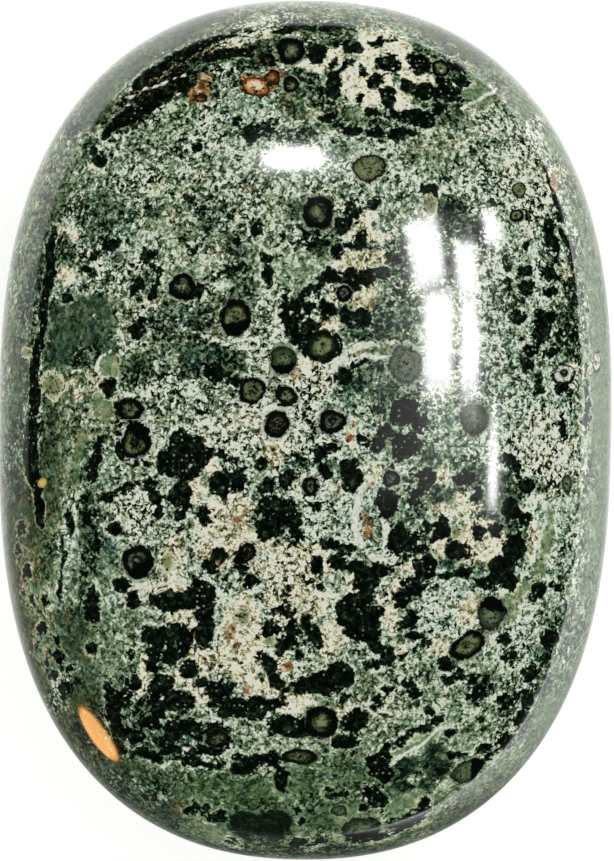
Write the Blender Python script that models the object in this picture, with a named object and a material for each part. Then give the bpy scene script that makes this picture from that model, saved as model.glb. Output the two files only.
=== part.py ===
"""A polished palm stone of kambaba jasper: one solid, +Y along its length, standing on its own small flat.

The stone is ground to a pillow. Seen from above it is an oval with full shoulders, and every upright
section through it is a slightly squared ellipse. The origin is the centre of the flat under the stone.
"""

import bmesh
import bpy

# Driving dimensions, in metres.
LENGTH = 0.0650
WIDTH = 0.0463
DOME_HEIGHT = 0.0125
BASE_DEPTH = 0.0120
BELLY_DEPTH = 0.0124

# How full the curves are: 2 is an ellipse, and a larger number is squarer.
SIDE_FULLNESS = 2.26
END_FULLNESS = 2.67
DOME_FULLNESS = 2.2
BELLY_FULLNESS = 2.4

# The +Y end is this share wider than the middle, and the -Y end as much narrower.
EGG = 0.0087

# The icosphere that the stone starts from: level 5 has 5120 facets with edges of about 2 mm.
FACET_LEVEL = 5
SOLVER_STEPS = 48
# A point this near the flat is taken as lying on it, so that the cut leaves no slivers.
FLAT_SNAP = 0.00004

STONE_COLOUR = (0.205, 0.265, 0.180, 1.0)
STONE_ROUGHNESS = 0.12


def clear_scene():
    for obj in list(bpy.data.objects):
        bpy.data.objects.remove(obj)


def fill_of_section(point, share):
    """How full the stone is at this share of the point: under 1 inside its surface, over 1 outside."""
    x, y, z = point * share
    half_length = LENGTH / 2
    half_width = WIDTH / 2 * (1 + EGG * y / half_length)
    outline = abs(x / half_width) ** SIDE_FULLNESS + abs(y / half_length) ** END_FULLNESS
    if z >= 0:
        height, fullness = DOME_HEIGHT, DOME_FULLNESS
    else:
        height, fullness = BELLY_DEPTH, BELLY_FULLNESS
    outline_fullness = (SIDE_FULLNESS + END_FULLNESS) / 2
    return outline ** (fullness / outline_fullness) + abs(z / height) ** fullness


def onto_surface(point):
    """The point moved straight out from, or in to, the stone's middle until it lies on the surface."""
    inside, outside = 0.0, 2.0
    for _ in range(SOLVER_STEPS):
        middle = (inside + outside) / 2
        if fill_of_section(point, middle) < 1:
            inside = middle
        else:
            outside = middle
    return point * inside


def shape_pillow(mesh):
    """Pulls a ball of radius 1 out to the stone's surface, with the girdle at height 0."""
    for vertex in mesh.verts:
        x, y, z = vertex.co
        vertex.co = (x * WIDTH / 2, y * LENGTH / 2, z * DOME_HEIGHT)
        vertex.co = onto_surface(vertex.co.copy())


def grind_flat(mesh):
    """Lifts the stone so that its base plane is at height 0, cuts off what is lower and closes the cut."""
    bmesh.ops.translate(mesh, verts=mesh.verts, vec=(0, 0, BASE_DEPTH))
    bmesh.ops.bisect_plane(
        mesh,
        geom=mesh.verts[:] + mesh.edges[:] + mesh.faces[:],
        dist=FLAT_SNAP,
        plane_co=(0, 0, 0),
        plane_no=(0, 0, -1),
        clear_outer=True,
    )
    for vertex in mesh.verts:
        if abs(vertex.co.z) < FLAT_SNAP:
            vertex.co.z = 0.0
    rim = [edge for edge in mesh.edges if edge.is_boundary]
    bmesh.ops.holes_fill(mesh, edges=rim)


def stone_material():
    material = bpy.data.materials.new("polished_kambaba_jasper")
    material.use_nodes = True
    shader = material.node_tree.nodes["Principled BSDF"]
    shader.inputs["Base Color"].default_value = STONE_COLOUR
    shader.inputs["Roughness"].default_value = STONE_ROUGHNESS
    shader.inputs["Metallic"].default_value = 0.0
    return material


def make_stone(collection):
    mesh = bmesh.new()
    bmesh.ops.create_icosphere(mesh, subdivisions=FACET_LEVEL, radius=1.0)
    shape_pillow(mesh)
    grind_flat(mesh)
    bmesh.ops.recalc_face_normals(mesh, faces=mesh.faces)
    data = bpy.data.meshes.new("palm_stone")
    mesh.to_mesh(data)
    mesh.free()
    data.shade_smooth()
    data.materials.append(stone_material())
    stone = bpy.data.objects.new("palm_stone", data)
    collection.objects.link(stone)
    return stone


def main():
    clear_scene()
    collection = bpy.data.collections.new("kambaba_jasper_palm_stone")
    bpy.context.scene.collection.children.link(collection)
    make_stone(collection)


main()
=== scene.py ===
# %% [markdown]
# A polished kambaba jasper palm stone. The real thing is one pebble-like piece of a dark green rock, ground
# to a pillow shape and tumbled to a high polish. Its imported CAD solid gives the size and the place. This
# lesson makes a finer skin of the same shape, gives it the rock's pattern, and lights it as a product
# photograph.

import bmesh
import bpy
import numpy as np
from mathutils import Matrix, Vector, noise
from mathutils.kdtree import KDTree


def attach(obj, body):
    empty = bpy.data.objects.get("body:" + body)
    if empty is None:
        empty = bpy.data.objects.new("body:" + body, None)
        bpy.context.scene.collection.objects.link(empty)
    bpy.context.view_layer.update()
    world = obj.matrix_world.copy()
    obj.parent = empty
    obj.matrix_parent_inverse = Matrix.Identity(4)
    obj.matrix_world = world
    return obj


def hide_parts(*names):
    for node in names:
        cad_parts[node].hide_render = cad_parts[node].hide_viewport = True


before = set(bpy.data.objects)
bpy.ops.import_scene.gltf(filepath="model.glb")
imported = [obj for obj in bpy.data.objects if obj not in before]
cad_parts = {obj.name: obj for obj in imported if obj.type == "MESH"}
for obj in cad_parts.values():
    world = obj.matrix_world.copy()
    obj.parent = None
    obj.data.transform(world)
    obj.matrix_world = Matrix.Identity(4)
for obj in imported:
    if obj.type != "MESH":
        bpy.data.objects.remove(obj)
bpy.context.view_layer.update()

# %% [markdown]
# The form. Seen from above the stone is an oval with full shoulders, and each upright section is a slightly
# squared ellipse. A formula of that kind is called a superellipse: with a fullness of 2 it is a true ellipse,
# and a larger number makes it squarer. The same formula shaped the CAD solid, so the fine skin lies exactly
# on it. All lengths in this part are millimetres, because the rock's grains are easier to think of that way.

# %% The stone's form as a formula
MM = 0.001
LENGTH = 65.0
WIDTH = 46.3
DOME_HEIGHT = 12.5
BASE_DEPTH = 12.0
BELLY_DEPTH = 12.4
SIDE_FULLNESS = 2.26
END_FULLNESS = 2.67
OUTLINE_FULLNESS = (SIDE_FULLNESS + END_FULLNESS) / 2
DOME_FULLNESS = 2.2
BELLY_FULLNESS = 2.4
# One end is this share wider than the middle, and the other as much narrower.
EGG = 0.0087
# The surface is found by halving, and a point this many times as far out is surely outside.
HALVINGS = 48
FAR_OUT = 2.0
SLOPE_STEP = 0.01


def outline_fill(x, y):
    """How full the outline is at a place seen from above: 1 on the girdle, less inside."""
    half_width = WIDTH / 2 * (1 + EGG * y / (LENGTH / 2))
    return np.abs(x / half_width) ** SIDE_FULLNESS + np.abs(y / (LENGTH / 2)) ** END_FULLNESS


def fill(points):
    """How full the stone is at points measured from the girdle's middle: under 1 inside, over 1 outside."""
    x, y, z = points.T
    height = np.where(z >= 0, DOME_HEIGHT, BELLY_DEPTH)
    fullness = np.where(z >= 0, DOME_FULLNESS, BELLY_FULLNESS)
    return outline_fill(x, y) ** (fullness / OUTLINE_FULLNESS) + np.abs(z / height) ** fullness


def onto_surface(points):
    """Points moved straight out from, or in to, the middle until they lie on the surface."""
    inside = np.zeros(len(points))
    outside = np.full(len(points), FAR_OUT)
    for _ in range(HALVINGS):
        middle = (inside + outside) / 2
        is_inside = fill(points * middle[:, None]) < 1
        inside = np.where(is_inside, middle, inside)
        outside = np.where(is_inside, outside, middle)
    return points * inside[:, None]


def outward(points):
    """The direction straight out of the surface at points on it, from how the fill grows around them."""
    slopes = [fill(points + offset) - fill(points - offset) for offset in np.eye(3) * SLOPE_STEP]
    slopes = np.stack(slopes, axis=1)
    return slopes / np.linalg.norm(slopes, axis=1, keepdims=True)


def dome_height(x, y):
    """How high the dome stands over the girdle at a place seen from above."""
    room = np.clip(1 - outline_fill(x, y) ** (DOME_FULLNESS / OUTLINE_FULLNESS), 0, 1)
    return DOME_HEIGHT * room ** (1 / DOME_FULLNESS)


# %% [markdown]
# The skin. A polished stone is judged by its reflections, and a reflection shows every facet, so the skin
# needs small even facets. A sphere made of rings has long thin ones at its poles. A box cut into a grid and
# blown up to the form has even ones everywhere. The top is cut once more, because it is the side that is
# shown and its pattern is stored on its points. Points that come below the base plane are set onto it, which
# grinds the flat that the stone rests on.

# %% Cut a box into a fine grid
CUTS_ACROSS = 104
CUTS_ALONG = 146
CUTS_UP = 22
# The box is this high for its width before it is blown up, which spreads its facets evenly.
BOX_FLATNESS = 0.55
NO_LENGTH = 1e-6
FACING_UP = 0.5


def cut_edges(mesh, axis, cuts):
    """Cuts every edge that runs along this axis into cuts + 1 equal pieces."""
    along = [edge for edge in mesh.edges if abs((edge.verts[0].co - edge.verts[1].co)[axis]) > NO_LENGTH]
    bmesh.ops.subdivide_edges(mesh, edges=along, cuts=cuts, use_grid_fill=True)


skin = bmesh.new()
bmesh.ops.create_cube(skin, size=2.0)
cut_edges(skin, 0, CUTS_ACROSS)
cut_edges(skin, 1, CUTS_ALONG)
cut_edges(skin, 2, CUTS_UP)
top_edges = [edge for edge in skin.edges if any(face.normal.z > FACING_UP for face in edge.link_faces)]
bmesh.ops.subdivide_edges(skin, edges=top_edges, cuts=1, use_grid_fill=True)
print("facets of the cut box", len(skin.faces))

# %% Blow the box up to the stone and grind the flat
grid = np.array([vertex.co for vertex in skin.verts])
grid[:, 2] *= BOX_FLATNESS
grid /= np.linalg.norm(grid, axis=1, keepdims=True)
grid *= (WIDTH / 2, LENGTH / 2, DOME_HEIGHT)
grid = onto_surface(grid) + (0, 0, BASE_DEPTH)
grid[:, 2] = np.maximum(grid[:, 2], 0)
for vertex, place in zip(skin.verts, grid):
    vertex.co = place * MM
bmesh.ops.recalc_face_normals(skin, faces=skin.faces)

stone_mesh = bpy.data.meshes.new("polished_stone")
skin.to_mesh(stone_mesh)
skin.free()
stone_mesh.shade_smooth()
stone = bpy.data.objects.new("polished_stone", stone_mesh)
bpy.context.scene.collection.objects.link(stone)
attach(stone, "root")
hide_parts("palm_stone")
stone_mesh.calc_loop_triangles()
print("triangles", len(stone_mesh.loop_triangles), "points", len(stone_mesh.vertices))

# %% [markdown]
# Where the photograph's camera stands. It looks straight down, from far enough that the oval shows no
# perspective to speak of, and the stone lies turned by half a degree. The camera comes before the pattern,
# because the pattern's parts are placed by where they are seen in the photograph.

# %% The camera and the way from the picture to the stone
PICTURE_WIDTH = 614
PICTURE_HEIGHT = 861
STONE_MIDDLE_X = 305.0
STONE_MIDDLE_Y = 429.7
STONE_LENGTH_IN_PICTURE = 859
PIXELS_PER_MM = STONE_LENGTH_IN_PICTURE / LENGTH
CAMERA_HEIGHT = 450.0
PICTURE_TURN = np.radians(-0.55)
SENSOR = 36.0
# A sight line is followed down to the dome in this many rounds.
SIGHT_ROUNDS = 12


def to_picture(points):
    """Where points measured from the girdle's middle are seen in the photograph."""
    x, y, z = points.T
    scale = PIXELS_PER_MM * CAMERA_HEIGHT / (CAMERA_HEIGHT - z)
    right = (x * np.cos(PICTURE_TURN) - y * np.sin(PICTURE_TURN)) * scale
    up = (x * np.sin(PICTURE_TURN) + y * np.cos(PICTURE_TURN)) * scale
    return STONE_MIDDLE_X + right, STONE_MIDDLE_Y - up


def on_stone(picture_x, picture_y):
    """The points of the dome, from the girdle's middle, that are seen at these places of the photograph."""
    picture_x = np.asarray(picture_x, float)
    picture_y = np.asarray(picture_y, float)
    z = np.full(picture_x.shape, DOME_HEIGHT)
    for _ in range(SIGHT_ROUNDS):
        scale = PIXELS_PER_MM * CAMERA_HEIGHT / (CAMERA_HEIGHT - z)
        right = (picture_x - STONE_MIDDLE_X) / scale
        up = (STONE_MIDDLE_Y - picture_y) / scale
        x = right * np.cos(PICTURE_TURN) + up * np.sin(PICTURE_TURN)
        y = up * np.cos(PICTURE_TURN) - right * np.sin(PICTURE_TURN)
        z = dome_height(x, y)
    return np.stack([x, y, z], axis=-1)


view = bpy.data.cameras.new("photo_camera")
view.sensor_fit = "VERTICAL"
view.sensor_height = SENSOR
view.lens = SENSOR * CAMERA_HEIGHT * PIXELS_PER_MM / PICTURE_HEIGHT
camera = bpy.data.objects.new("photo_camera", view)
bpy.context.scene.collection.objects.link(camera)
bpy.context.scene.camera = camera
off_right = (PICTURE_WIDTH / 2 - STONE_MIDDLE_X) / PIXELS_PER_MM
off_up = (STONE_MIDDLE_Y - PICTURE_HEIGHT / 2) / PIXELS_PER_MM
turn_back = Matrix.Rotation(-PICTURE_TURN, 4, "Z")
camera.location = turn_back @ Vector((off_right, off_up, CAMERA_HEIGHT + BASE_DEPTH)) * MM
camera.rotation_euler = turn_back.to_euler()
print("lens", round(view.lens, 1), "camera at", tuple(camera.location))

# %% [markdown]
# What the pattern is made of. Kambaba jasper is a green groundmass of fine grains, with paler and darker
# areas, black orbs, ringed orbs that look like eyes, and thin pale veins. The large parts are placed one by
# one as seen in the photograph, and the fine grain comes from noise in the material. A place is written in
# the photograph's pixels, as read off it: x, y, half its width, and where needed half its height and a turn
# in degrees. Every area belongs to a kind, which says how light, how grainy and how coloured it is.

# %% Kinds of area
# lift: lighter or darker; grain: how strong the mottle is; specks and flecks: how many dark and pale grains;
# warmth: cream over 0, teal under 0; moss: plain green; softness: half the width of its edge in millimetres.
KIND_VALUES = ("lift", "grain", "specks", "flecks", "warmth", "moss", "softness")
AREA_KINDS = {
    "pale speckle": (0.05, 0.85, 0.30, 0.50, 0.15, 0.45, 1.2),
    "cool speckle": (0.04, 1.1, 0.60, 0.90, -0.35, 0.0, 2.5),
    "green speckle": (0.05, 0.8, 0.40, 0.30, -0.1, 0.5, 2.0),
    "smooth moss": (-0.12, 0.40, 0.10, 0.25, -0.1, 1.0, 1.2),
    "bright green": (0.06, 0.9, 0.30, 0.50, -0.10, 0.9, 0.5),
    "black brown": (-0.47, 0.7, 0.50, 0.35, 0.7, 0.0, 0.2),
    "dark disc": (-0.28, 1.1, 0.90, 0.30, -0.1, 0.0, 0.12),
    "olive": (-0.07, 0.5, 0.15, 0.10, 0.3, 0.6, 0.5),
    "lime": (0.05, 0.30, -0.10, 0.05, 0.15, 1.0, 0.3),
    "teal": (-0.07, 0.6, 0.35, 0.30, -0.45, 0.0, 0.5),
    "pale teal": (0.02, 0.7, 0.25, 0.70, -0.4, 0.0, 0.6),
    "light cream": (0.34, 0.90, 0.36, 0.70, 0.85, 0.0, 0.12),
    "cream": (0.23, 0.95, 0.46, 0.75, 0.9, 0.0, 0.12),
    "crystals": (0.15, 1.15, 0.62, 0.80, 0.80, 0.0, 0.12),
    "pale green": (0.11, 0.65, 0.20, 0.40, -0.05, 0.5, 0.8),
    "white speckle": (0.14, 1.7, 0.60, 1.20, 0.3, 0.0, 0.4),
    "beige": (0.08, 0.8, 0.20, 0.30, 1.1, 0.0, 0.35),
    "dark speckle": (-0.17, 1.0, 1.00, 0.40, -0.1, 0.0, 0.4),
    "charcoal": (-0.22, 0.65, 0.60, 0.30, -0.35, 0.0, 0.5),
    "slate block": (-0.36, 0.12, -0.60, -0.30, -0.3, 0.1, 0.15),
    "deep slate": (-0.29, 0.30, -0.20, 0.10, -0.30, 0.2, 0.2),
    "slate": (-0.18, 0.25, -0.40, -0.10, -0.3, 0.3, 0.25),
    "dark": (-0.20, 0.7, 0.80, 0.10, -0.2, 0.2, 0.3),
    "near black": (-0.36, 0.5, 0.50, -0.20, -0.1, 0.1, 0.25),
    "olive flank": (-0.17, 0.24, 0.10, 0.00, 0.45, 0.7, 0.5),
    "shaded side": (-0.20, 0.30, 0.30, 0.00, 0.20, 0.35, 1.0),
    "olive speckle": (-0.04, 0.8, 0.45, 0.35, 0.30, 0.35, 1.6),
    "pale cool": (0.11, 1.1, 0.45, 1.00, -0.35, 0.0, 2.5),
    "pale flank": (-0.01, 0.18, -0.20, 0.00, 0.0, 0.1, 1.0),
    "grey flank": (-0.16, 0.14, -0.20, -0.10, 0.2, 0.0, 0.5),
    "flank": (-0.07, 0.26, 0.10, 0.20, 0.3, 0.1, 1.6),
}

# %% Areas, from the broadest to the smallest
BROAD_AREAS = [
    ("cool speckle", "right side", [(545, 420, 80, 330), (330, 470, 90, 90)]),
    # The pale cool areas are partly the rock's paler colour and partly painted light on the side towards the
    # window.
    ("pale cool", "right side", [(525, 240, 42, 72), (530, 470, 46, 110), (480, 620, 60, 60),
        (330, 150, 120, 30, -12)]),
    ("olive speckle", "left side", [(90, 430, 50, 90), (75, 600, 40, 90), (170, 320, 60, 30)]),
    ("green speckle", "lower right", [(430, 720, 140, 75), (330, 790, 120, 60)]),
    ("smooth moss", "foot", [(250, 800, 130, 34), (340, 800, 60, 40), (345, 770, 26, 18)]),
]
AREAS = [
    ("shaded side", "left and bottom", [(36, 470, 26, 210), (76, 678, 56, 78, -50), (150, 800, 80, 20, -38),
        (300, 848, 170, 12), (42, 260, 14, 80, -12), (470, 812, 60, 12, 32)]),
    ("pale flank", "right", [(600, 420, 18, 210, 2), (566, 702, 12, 100, -32)]),
    # The dark areas along the left and upper left rims are painted dark reflections, and the one along the
    # bottom rim is painted shade.
    ("dark", "left rim", [(40, 280, 12, 50, -12), (22, 470, 14, 55), (36, 390, 10, 90), (40, 500, 12, 40),
        (32, 440, 12, 70)]),
    ("dark", "upper left rim", [(130, 112, 30, 9, 38), (185, 66, 44, 11, 30), (265, 34, 40, 7, 8),
        (95, 145, 18, 9, 45)]),
    ("dark", "bottom rim", [(300, 850, 90, 4), (180, 826, 40, 4, -25), (150, 803, 30, 7, -35)]),
    ("dark speckle", "top, left part", [(225, 62, 44, 17, 20), (262, 56, 28, 13), (205, 88, 22, 15)]),
    ("dark speckle", "top, middle", [(312, 92, 34, 28), (335, 60, 14, 20), (300, 50, 26, 13),
        (440, 85, 32, 30)]),
    ("olive", "top, middle", [(292, 100, 18, 12), (312, 114, 26, 7), (352, 118, 44, 10), (430, 118, 30, 12)]),
    ("dark", "around the north orbs", [(436, 92, 34, 38), (380, 124, 60, 9), (400, 60, 40, 22),
        (255, 58, 32, 8, 8)]),
    ("charcoal", "middle", [(400, 405, 38, 24, -45), (405, 440, 24, 26), (365, 374, 32, 12, 25),
        (375, 318, 44, 20)]),
    ("charcoal", "left", [(190, 318, 22, 14), (212, 364, 34, 17), (190, 345, 20, 12), (240, 268, 16, 30),
        (105, 225, 26, 34), (70, 300, 14, 10)]),
    ("charcoal", "upper middle", [(325, 235, 34, 24), (300, 210, 20, 12), (420, 262, 34, 22),
        (450, 225, 30, 12)]),
    ("charcoal", "right middle", [(405, 530, 26, 34), (460, 560, 34, 14), (500, 505, 22, 34),
        (430, 450, 20, 14)]),
    # The top bar is a painted dark reflection along the top rim.
    ("near black", "top bar", [(318, 29, 44, 5), (346, 43, 26, 4)]),
    ("olive flank", "left flank", [(30, 570, 26, 110), (62, 700, 75, 20, -62), (60, 540, 14, 45)]),
    ("green speckle", "left of the middle", [(85, 590, 40, 70)]),
    ("pale speckle", "above the middle", [(270, 222, 12, 26), (190, 225, 55, 50)]),
    ("pale green", "above the middle", [(284, 268, 40, 28)]),
    ("green speckle", "lower left", [(124, 642, 18, 42)]),
    ("pale teal", "left", [(72, 540, 10, 50), (110, 465, 14, 26), (130, 240, 22, 16)]),
    ("light cream", "north lace", [(315, 66, 14, 4), (335, 58, 12, 8), (300, 60, 9, 7), (383, 34, 9, 5),
        (398, 52, 8, 5)]),
    ("light cream", "north edge", [(273, 20, 10, 4), (262, 32, 14, 5), (291, 35, 8, 4), (295, 64, 15, 4)]),
    ("light cream", "north patch", [(366, 84, 27, 23), (367, 46, 12, 18), (398, 50, 18, 10)]),
    ("light cream", "north patch, right", [(407, 70, 9, 14), (425, 79, 12, 5), (404, 99, 11, 9),
        (344, 84, 9, 13)]),
    ("grey flank", "upper left", [(165, 46, 95, 13, 33), (100, 105, 30, 12, 55)]),
    ("black brown", "wedge", [(135, 110, 30, 15, 38), (165, 90, 30, 15, 32), (198, 58, 40, 13, 28),
        (235, 46, 26, 10, 12)]),
    ("black brown", "around the rust", [(200, 86, 18, 13), (178, 68, 20, 12, 30), (268, 57, 18, 8)]),
    ("dark", "beside the orange spot", [(292, 78, 12, 8)]),
    ("white speckle", "beside the wedge", [(250, 33, 36, 7, 24), (222, 70, 10, 6)]),
    ("bright green", "under the wedge", [(180, 113, 24, 14), (163, 130, 14, 8)]),
    ("pale teal", "under the orange spot", [(250, 108, 24, 13), (232, 122, 10, 12)]),
    ("dark disc", "upper left", [(212, 213, 19), (272, 130, 15, 12)]),
    ("charcoal", "lower right flank", [(552, 640, 12, 40, -22), (528, 700, 12, 34, -35),
        (503, 738, 24, 10, 42)]),
    ("dark", "beside the window", [(448, 212, 26, 16, -40), (470, 232, 12, 12)]),
    ("dark speckle", "right edge, broad", [(572, 322, 13, 72), (556, 330, 16, 30)]),
    ("olive speckle", "north pebbles", [(440, 150, 46, 15, -8)]),
    ("grey flank", "upper right", [(450, 40, 52, 10, -28)]),
    ("pale flank", "upper right", [(542, 128, 52, 8, -52)]),
    ("lime", "north disc", [(474, 88, 12, 13), (483, 98, 14, 7, 20)]),
    ("olive", "right flank, top", [(536, 166, 6, 17)]),
    ("light cream", "fleck", [(369, 222, 9, 13), (355, 233, 9, 6, 30), (378, 235, 11, 4)]),
    ("beige", "pebbles", [(362, 260, 24, 13), (356, 298, 20, 14), (341, 267, 5, 8)]),
    ("cream", "above the middle eye", [(332, 299, 9, 4), (330, 326, 13, 6), (300, 358, 8, 3)]),
    ("olive", "between the upper veins", [(375, 351, 28, 5)]),
    ("white speckle", "under the middle eye", [(312, 382, 28, 19)]),
    ("beige", "under the middle eye", [(295, 373, 8, 6)]),
    ("white speckle", "under the small eyes", [(228, 430, 36, 24), (300, 410, 16, 26), (320, 450, 30, 12)]),
    ("white speckle", "right side", [(548, 452, 30, 44), (538, 196, 16, 40, -20), (522, 156, 15, 38, -25)]),
    ("pale teal", "right of the middle", [(452, 430, 26, 26)]),
    ("white speckle", "left middle", [(130, 506, 22, 22), (134, 535, 14, 9), (150, 440, 8, 22)]),
    ("cream", "left middle", [(190, 491, 16, 13), (172, 560, 13, 20), (160, 586, 40, 6)]),
    ("cream", "great patch", [(230, 522, 36, 30), (215, 550, 22, 20), (275, 452, 15, 13), (208, 468, 10, 8)]),
    ("crystals", "great patch, lower", [(290, 560, 46, 20), (300, 600, 34, 22), (352, 592, 12, 17)]),
    ("cream", "lower left", [(242, 640, 24, 44), (208, 662, 15, 13), (262, 690, 20, 10), (180, 618, 16, 9)]),
    ("cream", "lower left branches", [(193, 640, 5, 20), (200, 694, 14, 9), (183, 683, 14, 6, -40)]),
    ("cream", "lower left branches, outer", [(143, 680, 5, 24), (150, 708, 14, 5, -50),
        (184, 713, 10, 4, 20)]),
    ("cream", "middle", [(352, 436, 8, 16), (372, 472, 14, 12), (296, 491, 10, 7), (333, 485, 7, 8)]),
    ("cream", "right middle", [(446, 477, 11, 8), (463, 494, 14, 6), (455, 510, 26, 9), (478, 542, 26, 20)]),
    ("cream", "right middle, between the bodies", [(440, 546, 9, 16), (410, 563, 14, 7, 30),
        (530, 540, 7, 22), (512, 532, 8, 5)]),
    ("cream", "under the bow tie", [(391, 618, 7, 14), (402, 646, 8), (440, 648, 11, 9), (330, 640, 12, 20)]),
    ("cream", "right of the bow tie", [(474, 612, 17, 20), (392, 592, 16, 8, 20)]),
    ("cream", "lower middle", [(300, 704, 18, 12), (283, 664, 14, 8, -45), (345, 712, 12, 10)]),
    ("pale speckle", "lower middle", [(260, 746, 20, 13), (385, 700, 30, 34), (378, 742, 22, 8, 20)]),
    ("cream", "right edge", [(567, 372, 13, 7), (563, 273, 8, 9), (594, 362, 3, 9, -20)]),
    ("cream", "left edge", [(66, 232, 16, 7), (66, 276, 8, 10), (78, 397, 7, 9), (26, 353, 4, 6)]),
    ("lime", "right flank band", [(548, 518, 4, 18), (546, 545, 7, 18), (539, 570, 7, 16, -25),
        (524, 592, 8, 14, -50), (502, 608, 17, 15)]),
    ("lime", "lower edge", [(410, 803, 32, 9, 8), (207, 830, 25, 9, -18), (350, 815, 14, 10)]),
    ("lime", "left patches", [(108, 366, 10, 12), (102, 403, 8, 14, 10), (80, 452, 7, 20, -18)]),
    ("olive", "left patch", [(80, 472, 9, 20, -15), (125, 771, 8, 10)]),
    ("teal", "left patches", [(100, 545, 18, 16), (110, 208, 10, 11), (128, 228, 12, 9), (345, 150, 14, 9)]),
    ("teal", "right patches", [(383, 221, 9, 9), (590, 466, 7, 15), (410, 515, 16, 20), (340, 470, 30, 12)]),
    ("dark speckle", "upper left", [(212, 213, 19), (92, 213, 10, 12), (66, 212, 9, 12), (150, 208, 8, 6)]),
    ("dark speckle", "upper middle", [(235, 255, 12, 18), (247, 280, 8, 24), (308, 236, 24, 12)]),
    ("dark speckle", "under the north patches", [(297, 132, 20, 9), (352, 132, 9, 8), (372, 132, 26, 9),
        (244, 128, 12, 8)]),
    ("dark speckle", "right of the middle", [(408, 432, 19, 30), (405, 540, 18, 20), (420, 495, 12, 20)]),
    ("dark speckle", "right edge", [(553, 250, 9, 42), (562, 322, 20, 24), (531, 360, 10, 17),
        (505, 296, 18, 9)]),
    ("dark speckle", "right flank", [(526, 690, 9, 34, -28), (505, 703, 10, 9), (502, 738, 24, 11, 42)]),
    ("dark speckle", "lower right", [(478, 688, 18, 14), (508, 652, 12, 10), (550, 636, 9, 15, -20)]),
    ("dark speckle", "foot", [(375, 794, 12, 12), (250, 764, 18, 9)]),
    ("dark speckle", "left flank", [(92, 500, 8, 60, 0), (60, 690, 12, 30, -20), (170, 330, 26, 14, -25)]),
    ("shaded side", "lower left edge", [(72, 632, 24, 32, -10), (136, 786, 64, 22, -38)]),
    ("near black", "around the warm reflection", [(97, 737, 30, 13, -47)]),
    ("slate", "left patch", [(80, 324, 36, 30), (62, 348, 18, 22), (98, 346, 20, 12)]),
    ("dark", "left edge", [(66, 248, 9, 15), (148, 275, 8, 12), (96, 448, 7, 11), (92, 474, 9, 16),
        (90, 498, 8, 12)]),
    ("dark", "left edge, lower", [(85, 518, 6, 12), (90, 540, 8, 14), (96, 568, 9, 12)]),
    ("dark", "left middle", [(136, 372, 15, 20), (88, 356, 14, 14), (220, 368, 17, 13), (88, 585, 8, 34)]),
    ("dark", "middle", [(275, 520, 26, 21), (292, 475, 9, 22, -35), (265, 488, 16, 10), (297, 303, 9, 8)]),
    ("dark", "lower left", [(150, 728, 48, 34), (140, 787, 32, 17, -20), (215, 740, 20, 13),
        (120, 715, 18, 20)]),
    ("slate block", "foot block", [(246, 826, 18, 15), (276, 826, 16, 15), (261, 826, 30, 12)]),
    ("lime", "bar", [(414, 742, 34, 5, 32)]),
    ("deep slate", "under the bar", [(437, 760, 14, 20, 15), (400, 770, 22, 9, 28), (403, 787, 13, 7),
        (426, 783, 9, 8)]),
    ("dark", "right middle", [(427, 474, 10, 12), (468, 474, 18, 12), (444, 494, 11, 9), (531, 485, 13, 9)]),
    ("dark", "right flank", [(515, 500, 10, 24), (518, 540, 12, 24), (572, 352, 11, 8), (525, 275, 9, 16)]),
    ("dark", "top", [(424, 124, 14, 10), (198, 68, 13, 7), (110, 127, 8, 13), (70, 134, 8, 12)]),
]

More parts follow.
